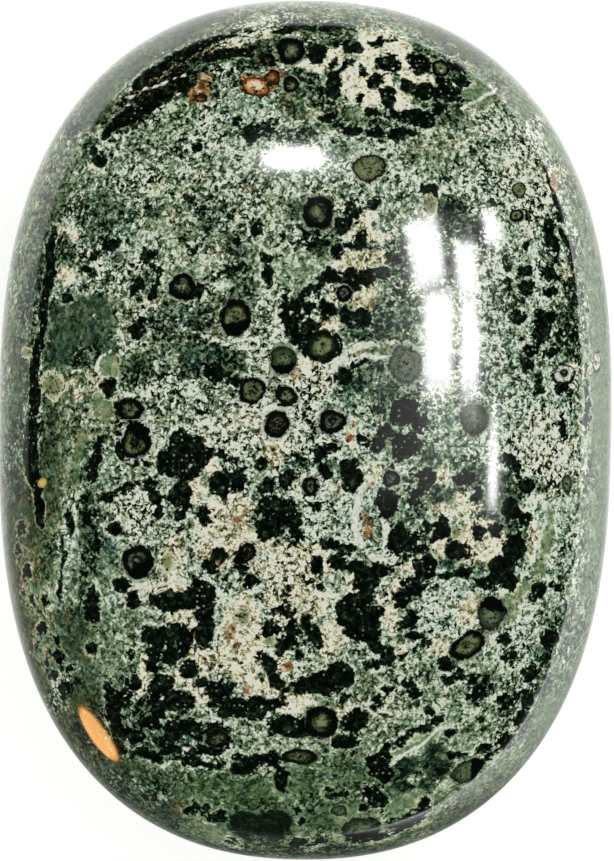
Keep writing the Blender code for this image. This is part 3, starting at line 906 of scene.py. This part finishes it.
def noise_of(place, scale, detail=2.0, roughness=0.5, output="Fac"):
    """Smooth noise from 0 to 1, with so many waves to the millimetre."""
    node = nodes.new("ShaderNodeTexNoise")
    feed(node.inputs["Vector"], place)
    node.inputs["Scale"].default_value = scale
    node.inputs["Detail"].default_value = detail
    node.inputs["Roughness"].default_value = roughness
    return node.outputs[output]


def cells_of(place, scale):
    """The distance to the nearest of some strewn points, and that point's colour, read as one number."""
    node = nodes.new("ShaderNodeTexVoronoi")
    feed(node.inputs["Vector"], place)
    node.inputs["Scale"].default_value = scale
    return node.outputs["Distance"], maths("MULTIPLY", node.outputs["Color"], 1.0)


def centred_noise(place, scale, detail=2.0, roughness=0.5):
    """Noise around 0, so that it lightens as often as it darkens."""
    return maths("SUBTRACT", noise_of(place, scale, detail, roughness), 0.5)


def weighted(*pairs):
    """The sum of these values, each times its share."""
    total = 0.0
    for value, share in pairs:
        total = maths("MULTIPLY_ADD", value, share, total)
    return total


def step_up(value, low, high, to_low=0.0, to_high=1.0):
    """A share that goes smoothly from to_low to to_high as the value goes from low to high."""
    node = nodes.new("ShaderNodeMapRange")
    node.interpolation_type = "SMOOTHSTEP"
    for socket, given in zip(node.inputs, (value, low, high, to_low, to_high)):
        feed(socket, given)
    return node.outputs[0]


def colours_along(value, stops):
    """The colour at this value on a ramp of (position, screen colour) stops."""
    node = nodes.new("ShaderNodeValToRGB")
    feed(node.inputs[0], value)
    elements = node.color_ramp.elements
    while len(elements) < len(stops):
        elements.new(0.5)
    for element, (position, colour) in zip(elements, stops):
        element.position = position
        element.color = screen_colour(*colour)
    return node.outputs["Color"]


def blended_rgba(share, first, second):
    """The first colour where the share is 0, the second where it is 1."""
    node = nodes.new("ShaderNodeMix")
    node.data_type = "RGBA"
    feed(node.inputs[0], share)
    feed(node.inputs[FIRST_COLOUR], first)
    feed(node.inputs[SECOND_COLOUR], second)
    return node.outputs[COLOUR_OUT]


# %% [markdown]
# The groundmass. Grains of 0.2 to 0.5 mm, pale on dark, come from three sizes of noise and three sizes of
# cells, added to one value. The fields shift that value up or down and stretch it, and four ramps turn it
# into colour: sage for the plain rock, teal for its cool areas, cream for its warm ones and moss green for
# the foot. A grain has no outline of its own, so noise gives its edge more truly than drawn shapes would.

# %% Layers of noise
texture_place = nodes.new("ShaderNodeTexCoord")
place = vector_maths("MULTIPLY", texture_place.outputs["Object"], (1 / MM, 1 / MM, 1 / MM))


def bent(place, scale, reach):
    """The place moved about by noise, by up to about a third of the reach in millimetres."""
    drift = vector_maths("SUBTRACT", noise_of(place, scale, 1.0, 0.5, "Color"), (0.5, 0.5, 0.5))
    return vector_maths("ADD", place, vector_maths("MULTIPLY", drift, (reach, reach, reach)))


ELSEWHERE = (40.0, 10.0, 20.0)
place_bent = bent(bent(place, scale=1.3, reach=0.9), scale=3.0, reach=0.22)
place_grains = bent(place, scale=1.8, reach=0.5)
place_elsewhere = vector_maths("ADD", place_bent, ELSEWHERE)
clouds = centred_noise(place_bent, scale=0.6, roughness=0.55)
mottle = centred_noise(place_bent, scale=2.4, detail=3.0, roughness=0.65)
middle_grain = centred_noise(place_elsewhere, scale=2.4, detail=3.0, roughness=0.6)
fine_grain = centred_noise(place, scale=5.6, roughness=0.7)
edge_noise = weighted((fine_grain, 0.30), (middle_grain, 0.90))
body_bends = centred_noise(place_elsewhere, scale=1.15)
BODY_BEND = 0.8
body_depth = maths("ADD", stored("black"), weighted((edge_noise, 1.0), (body_bends, BODY_BEND)))

# %% The grain value, from noise and cells
PLAIN_VALUE = 0.56
NOISE_SHARES = ((clouds, 0.75), (mottle, 0.85), (fine_grain, 1.25))
# Each size of cell: its scale, how much a cell's own number counts, how much its border does, and how much
# the own number decides whether the cell holds a dark speck.
CELL_SIZES = ((1.45, 0.0, 0.0, 0.62), (2.6, 0.50, -0.07, 0.80), (4.2, 1.00, -0.10, 0.0))
RAGGED_CELLS = -0.15
BORDER_FROM, BORDER_TO = 0.25, 0.65
SPECK_NUMBER = 0.56
SPECK_FIELD_SHARE = 0.5
SPECK_CLOUD_SHARE = -0.5
SPECK_EDGE = (-0.10, 0.08)
# The rock's contrast changes from zone to zone, between these two shares.
ZONE_EDGE = (0.35, 0.65)
CALM_SHARE, LIVELY_SHARE = 0.75, 1.25
mottled = weighted(*NOISE_SHARES)
speck_share = 0.0
for cell_scale, number_share, border_share, speck_reach in CELL_SIZES:
    distance, own_number = cells_of(place_grains, cell_scale)
    distance = maths("MULTIPLY_ADD", fine_grain, RAGGED_CELLS, distance)
    border = step_up(distance, BORDER_FROM, BORDER_TO, -0.5, 0.5)
    mottled = maths("ADD", mottled, weighted((maths("SUBTRACT", own_number, 0.5), number_share),
                                             (border, border_share)))
    speck_level = weighted(
        (maths("SUBTRACT", own_number, SPECK_NUMBER), speck_reach),
        (maths("SUBTRACT", stored("specks"), 0.5), SPECK_FIELD_SHARE),
        (clouds, SPECK_CLOUD_SHARE),
    )
    speck = step_up(maths("SUBTRACT", speck_level, distance), *SPECK_EDGE)
    speck_share = maths("MAXIMUM", speck_share, speck)
zone_noise = noise_of(place_elsewhere, scale=0.35, detail=1.0)
zones = step_up(zone_noise, *ZONE_EDGE, CALM_SHARE, LIVELY_SHARE)
contrast = maths("MULTIPLY", stored("grain"), zones)
grain_value = maths("ADD", maths("MULTIPLY_ADD", mottled, contrast, stored("lift")), PLAIN_VALUE)
print("nodes after the grain", len(nodes))

# %% The grain value, around and between the black bodies
# A pale halo lies just outside each black body, and pale strands run where one noise crosses its middle.
HALO_OUTER_EDGE = (-0.40, -0.20)
HALO_INNER_EDGE = (-0.04, -0.16)
STRAND_EDGE = (0.036, 0.012)
BODY_SHADE_EDGE = (-0.15, 0.03)
PALE_LIFT = 0.30
HALO_SHARE = 0.8
SPECK_DROP = -0.40
BODY_DROP = -0.42
halo = maths("MULTIPLY", step_up(body_depth, *HALO_OUTER_EDGE), step_up(body_depth, *HALO_INNER_EDGE))
contour = maths("ABSOLUTE", centred_noise(place_elsewhere, scale=0.9, detail=3.0, roughness=0.6))
strand = maths("MULTIPLY", step_up(contour, *STRAND_EDGE), stored("flecks"))
pale_share = maths("MAXIMUM", maths("MULTIPLY", halo, HALO_SHARE), strand)
body_shade = step_up(body_depth, *BODY_SHADE_EDGE)
grain_value = weighted((grain_value, 1.0), (pale_share, PALE_LIFT), (speck_share, SPECK_DROP),
                       (body_shade, BODY_DROP))
print("nodes after the halos and strands", len(nodes))

# %% The four ramps of the groundmass
GRAIN_STOPS = (0.10, 0.24, 0.37, 0.48, 0.58, 0.69, 0.80, 0.92)
SAGE = ((3, 9, 3), (24, 38, 22), (62, 82, 57), (98, 120, 90),
        (132, 154, 121), (166, 186, 152), (206, 219, 192), (244, 249, 232))
TEAL = ((2, 9, 5), (18, 34, 25), (48, 76, 60), (82, 116, 94),
        (112, 146, 122), (148, 180, 154), (190, 214, 190), (236, 248, 232))
CREAM = ((6, 8, 3), (30, 34, 18), (82, 81, 52), (132, 127, 88),
         (170, 165, 122), (204, 199, 156), (230, 226, 188), (253, 251, 230))
MOSS = ((3, 8, 3), (20, 34, 16), (50, 74, 44), (82, 108, 71),
        (106, 134, 94), (134, 160, 119), (168, 190, 148), (222, 232, 200))
HUE_DRIFT = 2.6


def grains_in(colours):
    """The grain value turned into these colours, from the darkest grain to the palest."""
    return colours_along(grain_value, list(zip(GRAIN_STOPS, colours)))


hue_noise = centred_noise(place, scale=0.8, detail=3.0, roughness=0.6)
warmth = maths("MULTIPLY_ADD", hue_noise, HUE_DRIFT, stored("warmth"))
rock_colour = blended_rgba(stored("moss"), grains_in(SAGE), grains_in(MOSS))
rock_colour = blended_rgba(step_up(warmth, 0.0, 1.0), rock_colour, grains_in(CREAM))
rock_colour = blended_rgba(step_up(warmth, 0.0, -1.0), rock_colour, grains_in(TEAL))
print("nodes after the ramps", len(nodes))

# %% Veins, stains and black bodies
VEIN = [(0.26, (160, 174, 144)), (0.40, (216, 224, 198)), (0.54, (248, 250, 236))]
STAIN = [(0.35, (50, 34, 16)), (0.46, (128, 90, 48)), (0.56, (196, 154, 98)), (0.66, (246, 232, 202))]
BLACK_ROCK = [(0.38, (1, 5, 1)), (0.52, (7, 15, 7)), (0.62, (30, 44, 28)), (0.74, (74, 92, 70))]
# The sparks are painted highlights: small glints of light on the black polish, painted grey into the colour.
PAINTED_SPARK_GREY = (130, 148, 126)
# A spark lies in a cell of the black rock whose number is this high, and reaches this far from its middle.
PAINTED_SPARK_NUMBER_EDGE = (0.60, 0.68)
PAINTED_SPARK_REACH_EDGE = (0.30, 0.14)
VEIN_RAGGEDNESS = 0.28
# Each edge: the depth at which it starts to show and the depth at which it is whole, in millimetres.
VEIN_EDGE = (-0.04, 0.02)
STAIN_EDGE = (-0.12, 0.10)
BODY_EDGE = (-0.05, 0.06)
vein_colour = colours_along(noise_of(place_elsewhere, scale=3.4, detail=3.0, roughness=0.65), VEIN)
vein_depth = maths("MULTIPLY_ADD", edge_noise, VEIN_RAGGEDNESS, stored("vein"))
rock_colour = blended_rgba(step_up(vein_depth, *VEIN_EDGE), rock_colour, vein_colour)
stain_colour = colours_along(noise_of(place_elsewhere, scale=3.0, detail=3.0, roughness=0.65), STAIN)
stain_depth = maths("ADD", stored("stain"), edge_noise)
rock_colour = blended_rgba(step_up(stain_depth, *STAIN_EDGE), rock_colour, stain_colour)
black_colour = colours_along(noise_of(place_elsewhere, scale=2.2, detail=3.0, roughness=0.7), BLACK_ROCK)
painted_spark_distance, painted_spark_number = cells_of(place, scale=2.6)
painted_spark = maths("MULTIPLY", step_up(painted_spark_number, *PAINTED_SPARK_NUMBER_EDGE),
              step_up(painted_spark_distance, *PAINTED_SPARK_REACH_EDGE))
black_colour = blended_rgba(painted_spark, black_colour, screen_colour(*PAINTED_SPARK_GREY))
rock_colour = blended_rgba(step_up(body_depth, *BODY_EDGE), rock_colour, black_colour)
print("nodes after the veins, stains and black bodies", len(nodes))

# %% [markdown]
# The eyes. Each is a set of rings around a core, so one ramp from its middle to its rim makes it, read at the
# stored share of its radius. A little noise on that share keeps the rings from looking turned on a lathe.

# %% The rings of each style of eye
EYE_RAMPS = {
    "olive": [(0.0, (8, 11, 5)), (0.14, (16, 20, 9)), (0.22, (106, 116, 76)), (0.36, (112, 124, 82)),
        (0.48, (52, 62, 34)), (0.56, (6, 10, 5)), (0.74, (5, 9, 5)), (0.84, (160, 174, 142))],
    "pale core": [(0.0, (160, 168, 130)), (0.14, (132, 144, 104)), (0.24, (84, 98, 64)),
        (0.36, (30, 40, 22)), (0.52, (8, 12, 7)), (0.74, (5, 9, 5)), (0.84, (160, 174, 142))],
    "green disc": [(0.0, (84, 104, 70)), (0.3, (90, 112, 78)), (0.52, (62, 80, 52)), (0.66, (38, 50, 34)),
        (0.72, (22, 30, 20)), (0.8, (150, 166, 132))],
    "lime disc": [(0.0, (128, 138, 94)), (0.4, (142, 150, 104)), (0.58, (176, 184, 140)),
        (0.72, (222, 224, 184))],
    "rings": [(0.0, (120, 128, 112)), (0.12, (20, 26, 20)), (0.26, (14, 20, 14)), (0.36, (70, 80, 68)),
        (0.46, (12, 17, 12)), (0.72, (5, 9, 6)), (0.8, (186, 198, 172))],
    "grey": [(0.0, (140, 152, 130)), (0.12, (40, 50, 38)), (0.24, (124, 138, 114)), (0.4, (62, 76, 58)),
        (0.54, (112, 128, 104)), (0.68, (44, 56, 42)), (0.8, (190, 202, 178))],
    "brown": [(0.0, (6, 8, 4)), (0.3, (10, 12, 6)), (0.42, (40, 38, 20)), (0.52, (14, 16, 8)),
        (0.7, (5, 9, 5)), (0.77, (214, 222, 198))],
    "slit": [(0.0, (8, 12, 5)), (0.12, (30, 38, 18)), (0.22, (128, 142, 96)), (0.4, (112, 128, 84)),
        (0.54, (40, 52, 30)), (0.66, (10, 16, 9)), (0.8, (12, 18, 10))],
    "arch": [(0.0, (150, 158, 136)), (0.3, (110, 120, 96)), (0.44, (20, 26, 16)), (0.74, (5, 9, 5)),
        (0.82, (200, 206, 186))],
    "dark olive": [(0.0, (62, 76, 48)), (0.36, (46, 58, 34)), (0.58, (16, 22, 12)), (0.74, (7, 11, 6)),
        (0.82, (120, 138, 104))],
    "olive arc": [(0.0, (150, 160, 130)), (0.08, (12, 16, 8)), (0.26, (10, 14, 7)), (0.36, (96, 108, 72)),
        (0.46, (88, 100, 64)), (0.54, (10, 14, 7)), (0.7, (6, 10, 5)), (0.78, (224, 230, 208))],
    "thin ring": [(0.0, (8, 11, 5)), (0.09, (14, 18, 8)), (0.16, (112, 122, 82)), (0.5, (122, 132, 92)),
        (0.6, (88, 100, 64)), (0.66, (12, 16, 9)), (0.72, (8, 12, 7)), (0.8, (196, 206, 178))],
    "amber bead": [(0.0, (238, 220, 140)), (0.45, (226, 196, 108)), (0.68, (150, 134, 76)),
        (0.76, (60, 60, 34))],
    "rust patch": [(0.0, (214, 132, 70)), (0.35, (150, 86, 44)), (0.6, (70, 46, 26)), (0.74, (24, 22, 12))],
    # The orange patch's near-white middle is a painted reflection of a warm lamp.
    "orange patch": [(0.0, (255, 249, 234)), (0.38, (255, 233, 192)), (0.56, (234, 170, 100)),
        (0.7, (160, 98, 50)), (0.78, (60, 46, 26))],
    "white ring": [(0.0, (120, 130, 110)), (0.16, (30, 38, 28)), (0.34, (24, 32, 22)),
        (0.44, (226, 232, 214)), (0.62, (232, 238, 220)), (0.72, (24, 32, 22))],
}

# %% Eyes in their rings, with light grains, dark grains and a dark side
# The ramps reach from an eye's middle to this share of its radius.
EYE_RIM = 1.36
PALE_GRAIN = (176, 188, 150)
DARK_GRAIN = (10, 16, 8)
DARK_SIDE = (5, 9, 5)
PALE_GRAIN_EDGE = (0.0, 0.20)
DARK_GRAIN_EDGE = (-0.02, -0.18)
DARK_SIDE_EDGE = (0.10, 0.30)
# Pale grains show only inside the rings, up to this share, and the dark side ends at the eye's own edge.
RINGS_EDGE = (0.66, 0.52)
PALE_GRAIN_SHARE = 0.3
EYE_EDGE = (1.06, 0.98)
eye_noise = weighted((middle_grain, 0.50), (fine_grain, 0.15))
eye_distance = maths("ADD", stored("eye"), eye_noise)
along_eye = maths("DIVIDE", eye_distance, EYE_RIM)
style_number = stored("eye_style")
eye_colour = colours_along(along_eye, EYE_RAMPS[EYE_STYLES[0]])
for number, style in enumerate(EYE_STYLES[1:], 1):
    is_this_or_later = maths("GREATER_THAN", style_number, number - 0.5)
    eye_colour = blended_rgba(is_this_or_later, eye_colour, colours_along(along_eye, EYE_RAMPS[style]))
eye_light = maths("ADD", mottle, fine_grain)
inside_rings = step_up(eye_distance, *RINGS_EDGE, 0.0, PALE_GRAIN_SHARE)
pale_grains = maths("MULTIPLY", step_up(eye_light, *PALE_GRAIN_EDGE), inside_rings)
eye_colour = blended_rgba(pale_grains, eye_colour, screen_colour(*PALE_GRAIN))
eye_colour = blended_rgba(step_up(eye_light, *DARK_GRAIN_EDGE), eye_colour, screen_colour(*DARK_GRAIN))
inside_eye = step_up(eye_distance, *EYE_EDGE)
dark_side = step_up(maths("ADD", stored("eye_shade"), eye_noise), *DARK_SIDE_EDGE)
eye_colour = blended_rgba(maths("MULTIPLY", dark_side, inside_eye), eye_colour, screen_colour(*DARK_SIDE))

# %% Eyes laid into the rock, and the painted glints of light
# An eye's pale rim is broad in some places and thin in others, and thinner where it meets a black body.
NARROW_RIM, BROAD_RIM = 1.08, 1.30
RIM_NOISE_EDGE = (0.42, 0.60)
RIM_EDGE = (0.03, -0.03)
RIM_LOST_ON_BLACK = -0.24
ON_BLACK_EDGE = (-0.06, 0.04)
PAINTED_GLINT_WHITE = (240, 244, 236)
PAINTED_GLINT_RAGGEDNESS = 0.3
PAINTED_GLINT_EDGE = (-0.02, 0.05)
rim_noise = noise_of(place_elsewhere, scale=0.9, detail=1.0)
rim_reach = step_up(rim_noise, *RIM_NOISE_EDGE, NARROW_RIM, BROAD_RIM)
rim_reach = maths("MULTIPLY_ADD", step_up(body_depth, *ON_BLACK_EDGE), RIM_LOST_ON_BLACK, rim_reach)
eye_share = step_up(maths("SUBTRACT", eye_distance, rim_reach), *RIM_EDGE)
rock_colour = blended_rgba(eye_share, rock_colour, eye_colour)
# The glints are painted highlights: white in the colour where the polish would catch a glint of light.
painted_glint_depth = maths("MULTIPLY_ADD", edge_noise, PAINTED_GLINT_RAGGEDNESS, stored("painted_glint"))
rock_colour = blended_rgba(step_up(painted_glint_depth, *PAINTED_GLINT_EDGE), rock_colour, screen_colour(*PAINTED_GLINT_WHITE))
feed(polish.inputs["Base Color"], rock_colour)
print("nodes after the eyes and glints", len(nodes))

# %% [markdown]
# The polish. Jasper takes a glassy polish, so the surface is a clear reflector over the colour. Its grains
# are not all equally hard and wear down by a few thousandths of a millimetre, which shows only as a slight
# tremble in the reflections. That much is bump, not geometry, because it has no height that an eye could see.

# %% Polish
JASPER_IOR = 1.54
SMOOTHEST = 0.06
DULLER_BY = 0.07
# The heights of the relief in millimetres.
WAVE_HEIGHT = 0.020
PIT_HEIGHT = 0.0016
polish.inputs["IOR"].default_value = JASPER_IOR
dullness = noise_of(place, scale=3.0, detail=3.0)
feed(polish.inputs["Roughness"], maths("MULTIPLY_ADD", dullness, DULLER_BY, SMOOTHEST))
waves = noise_of(place, scale=0.22, detail=1.0)
pits = noise_of(place, scale=3.2, detail=3.0, roughness=0.6)
relief = nodes.new("ShaderNodeBump")
relief.inputs["Strength"].default_value = 1.0
relief.inputs["Distance"].default_value = MM
feed(relief.inputs["Height"], weighted((waves, WAVE_HEIGHT), (pits, PIT_HEIGHT)))
feed(polish.inputs["Normal"], relief.outputs["Normal"])
stone_mesh.materials.append(rock)

# %% [markdown]
# Floor, light and surroundings. A polished dome mirrors the whole room, so the room matters as much as the
# lamps. The table is plain white to the eye and lights the stone. In the polish it is dim, with a glow close
# to the stone, a brighter far side towards the window and a bright rim, and the room above it is dark. The
# Light Path node tells the two apart. Lamps and mirrored things are kept apart too: broad soft lamps light
# the stone and aren't mirrored, and the window panes and spots that are mirrored stand just where the mirror
# direction at their place points.

# %% Shaders for the floor and the room
WHITE = (1.0, 1.0, 1.0, 1.0)
PAPER_WHITE = (0.9, 0.9, 0.9, 1.0)
PAPER_ROUGHNESS = 0.9
PAPER_GLOW = 0.5


def new_shader(kind, **values):
    """A shader of this kind, with these values on its sockets."""
    node = nodes.new(kind)
    for name, value in values.items():
        feed(node.inputs[name], value)
    return node.outputs[0]


def either_shader(share, first, second):
    """The first shader where the share is 0, the second where it is 1."""
    node = nodes.new("ShaderNodeMixShader")
    for socket, value in zip(node.inputs, (share, first, second)):
        feed(socket, value)
    return node.outputs[0]


def glow_between(distance, start, end, low, high):
    """A glow that goes smoothly from low to high between two distances in millimetres."""
    return step_up(distance, start * MM, end * MM, low, high)


# %% Floor
TABLE_SIZE = 360.0
TABLE_GAP = 0.05
TABLE_CORNERS = 96
# How the table glows in the polish: the two distances in millimetres between which the glow changes, and
# its values at the first and the second. The glows at the rim and near the stone are products of two.
BACK_GLOW = (-40, 70, 0.18, 2.0)
RIGHT_GLOW = (10, 70, 0.18, 2.5)
RIM_GLOW_OUTWARDS = (140, 150, 0.0, 1.0)
RIM_GLOW_RIGHTWARDS = (0, 60, 0.0, 5.5)
NEAR_GLOW_OUTWARDS = (32, 52, 1.0, 0.0)
NEAR_GLOW_BACKWARDS = (-34, -10, 0.4, 1.0)
table = bmesh.new()
bmesh.ops.create_circle(table, cap_ends=True, segments=TABLE_CORNERS, radius=TABLE_SIZE / 2 * MM)
bmesh.ops.translate(table, verts=table.verts, vec=(0, 0, -TABLE_GAP * MM))
table_mesh = bpy.data.meshes.new("table_top")
table.to_mesh(table_mesh)
table.free()
table_top = bpy.data.objects.new("table_top", table_mesh)
bpy.context.scene.collection.objects.link(table_top)

paper = bpy.data.materials.new("white_table")
paper.use_nodes = True
# The helpers add their nodes to the tree that these two names stand for.
nodes = paper.node_tree.nodes
links = paper.node_tree.links
paper_shader = nodes["Principled BSDF"]
paper_shader.inputs["Base Color"].default_value = PAPER_WHITE
paper_shader.inputs["Roughness"].default_value = PAPER_ROUGHNESS
paper_shader.inputs["Emission Color"].default_value = WHITE
paper_shader.inputs["Emission Strength"].default_value = PAPER_GLOW
table_place = nodes.new("ShaderNodeTexCoord").outputs["Object"]
table_parts = nodes.new("ShaderNodeSeparateXYZ")
feed(table_parts.inputs[0], table_place)
to_right, to_back = table_parts.outputs["X"], table_parts.outputs["Y"]
from_middle = vector_maths("LENGTH", table_place)
back_glow = glow_between(to_back, *BACK_GLOW)
right_glow = glow_between(to_right, *RIGHT_GLOW)
rim_glow = maths("MULTIPLY", glow_between(from_middle, *RIM_GLOW_OUTWARDS),
                 glow_between(to_right, *RIM_GLOW_RIGHTWARDS))
near_glow = maths("MULTIPLY", glow_between(from_middle, *NEAR_GLOW_OUTWARDS),
                  glow_between(to_back, *NEAR_GLOW_BACKWARDS))
table_glow = back_glow
for glow in (right_glow, rim_glow, near_glow):
    table_glow = maths("MAXIMUM", table_glow, glow)
table_in_polish = new_shader("ShaderNodeEmission", Strength=table_glow)
is_mirrored = nodes.new("ShaderNodeLightPath").outputs["Is Glossy Ray"]
table_shader = either_shader(is_mirrored, paper_shader.outputs[0], table_in_polish)
feed(nodes["Material Output"].inputs[0], table_shader)
table_mesh.materials.append(paper)
print("table", TABLE_SIZE, "mm across,", TABLE_GAP, "mm under the stone")

# %% Surroundings: white for lighting and for the camera, dark in the polish
ROOM_GLOW = 0.62
BACKDROP_WHITE = (0.95, 0.95, 0.95, 1.0)
ROOM_IN_POLISH = (0.010, 0.014, 0.010, 1.0)
world = bpy.data.worlds.new("dim_room")
world.use_nodes = True
bpy.context.scene.world = world
nodes = world.node_tree.nodes
links = world.node_tree.links
nodes.clear()
ray = nodes.new("ShaderNodeLightPath")
soft_white = new_shader("ShaderNodeBackground", Color=WHITE, Strength=ROOM_GLOW)
backdrop = new_shader("ShaderNodeBackground", Color=BACKDROP_WHITE)
mirrored_room = new_shader("ShaderNodeBackground", Color=ROOM_IN_POLISH)
room = either_shader(ray.outputs["Is Glossy Ray"], soft_white, mirrored_room)
room = either_shader(ray.outputs["Is Camera Ray"], room, backdrop)
feed(nodes.new("ShaderNodeOutputWorld").inputs[0], room)
print("the room glows", ROOM_GLOW, "times as bright as white")

# %% Helpers that place lamps
LAMP_DISTANCE = 700.0
PLAIN_LIGHT = (1.0, 1.0, 1.0)


def area_lamp(name, middle, away, right, width, height, glow, colour=PLAIN_LIGHT, shape="RECTANGLE"):
    """A flat lamp whose face glows this many times as bright as white paper; away points from the stone."""
    lamp = bpy.data.lights.new(name, "AREA")
    lamp.shape = shape
    lamp.size = width * MM
    lamp.size_y = height * MM
    lamp.energy = glow * np.pi * lamp.size * lamp.size_y
    lamp.color = colour
    holder = bpy.data.objects.new(name, lamp)
    bpy.context.scene.collection.objects.link(holder)
    away = Vector(away).normalized()
    upward = away.cross(Vector(right)).normalized()
    sideways = upward.cross(away).normalized()
    turn = Matrix((sideways, upward, away)).transposed().to_4x4()
    holder.matrix_world = Matrix.Translation(Vector(middle) * MM) @ turn
    return holder


def mirror_ray(x, y):
    """The point of the stone seen at a pixel, and the direction in which the polish mirrors there."""
    point = on_stone(x, y)
    out = outward(point[None])[0]
    to_camera = np.array([0.0, 0.0, CAMERA_HEIGHT]) - point
    to_camera /= np.linalg.norm(to_camera)
    return point + (0, 0, BASE_DEPTH), 2 * (out @ to_camera) * out - to_camera


def mirrored_lamp(name, x, y, half_width, half_height, glow, turn=0.0, colour=PLAIN_LIGHT,
                  distance=LAMP_DISTANCE, shape="RECTANGLE"):
    """A lamp whose mirror image is about a rectangle around this pixel, turned by this many degrees."""
    along = np.array([np.cos(np.radians(turn)), np.sin(np.radians(turn))])
    down = np.array([-along[1], along[0]])
    point, away = mirror_ray(x, y)
    ends = [mirror_ray(x + step[0], y + step[1])[1] for step in
            (-along * half_width, along * half_width, -down * half_height, down * half_height)]
    across = ends[1] - ends[0]
    width = np.linalg.norm(across) * distance
    height = np.linalg.norm(ends[3] - ends[2]) * distance
    lamp = area_lamp(name, point + away * distance, away, across, width, height, glow, colour, shape)
    lamp.visible_diffuse = False
    lamp.visible_camera = False
    print(name, "is", round(width), "by", round(height), "mm, towards", away.round(2))


# %% Lamps
# Each pane of the window as it is mirrored: x, y, half its width and height in pixels, and its turn.
PANES = {
    "pane_upper_left": (426, 250, 16, 31, -21),
    "pane_lower_left": (439, 334, 14, 47, -3),
    "pane_upper_right": (467, 266, 10, 24, -12),
    "pane_lower_right": (470, 338, 8, 48, 0),
    "pane_small": (492, 228, 7, 16, 0),
    "pane_strip": (493, 477, 4.5, 36, 5),
}
PANE_GLOW = 26.0
# The haze around the window is several faint lamps, one inside the other, around this pixel. The sizes are
# half its width and height in pixels.
HAZE_PLACE = (450, 305)
HAZE_WIDTH, HAZE_HEIGHT = 58, 108
HAZE_SHARES = (0.45, 0.6, 0.8, 1.0, 1.15)
HAZE_GLOW = 0.62
WARM = (1.0, 0.50, 0.16)
WARM_LAMP_DISTANCE = 45.0
for name, (x, y, half_width, half_height, turn) in PANES.items():
    mirrored_lamp(name, x, y, half_width, half_height, PANE_GLOW, turn)
for share in HAZE_SHARES:
    mirrored_lamp(f"window_haze_{share}", *HAZE_PLACE, HAZE_WIDTH * share, HAZE_HEIGHT * share, HAZE_GLOW)
mirrored_lamp("soft_box", 287, 158, 32, 12, glow=28.0, shape="ELLIPSE")
mirrored_lamp("soft_box_veil", 325, 163, 25, 13, glow=3.0, shape="ELLIPSE")
mirrored_lamp("warm_lamp", 98, 736, 28, 9, glow=12.0, turn=41, colour=WARM, distance=WARM_LAMP_DISTANCE,
              shape="ELLIPSE")

# %% Broad lamps that light the stone and aren't mirrored
# Each has the place of its middle and its size in millimetres, and its glow.
BROAD_LAMPS = {"key": ((420, 380, 620), 420, 1.6), "fill": ((-520, -80, 560), 420, 0.6)}
for name, (middle, size, glow) in BROAD_LAMPS.items():
    lamp = area_lamp(name, middle, middle, (0, 1, 0), size, size, glow)
    lamp.visible_glossy = False
    lamp.visible_camera = False
    print(name, "at", middle, "glows", glow)

bpy.context.scene.view_settings.view_transform = "Standard"
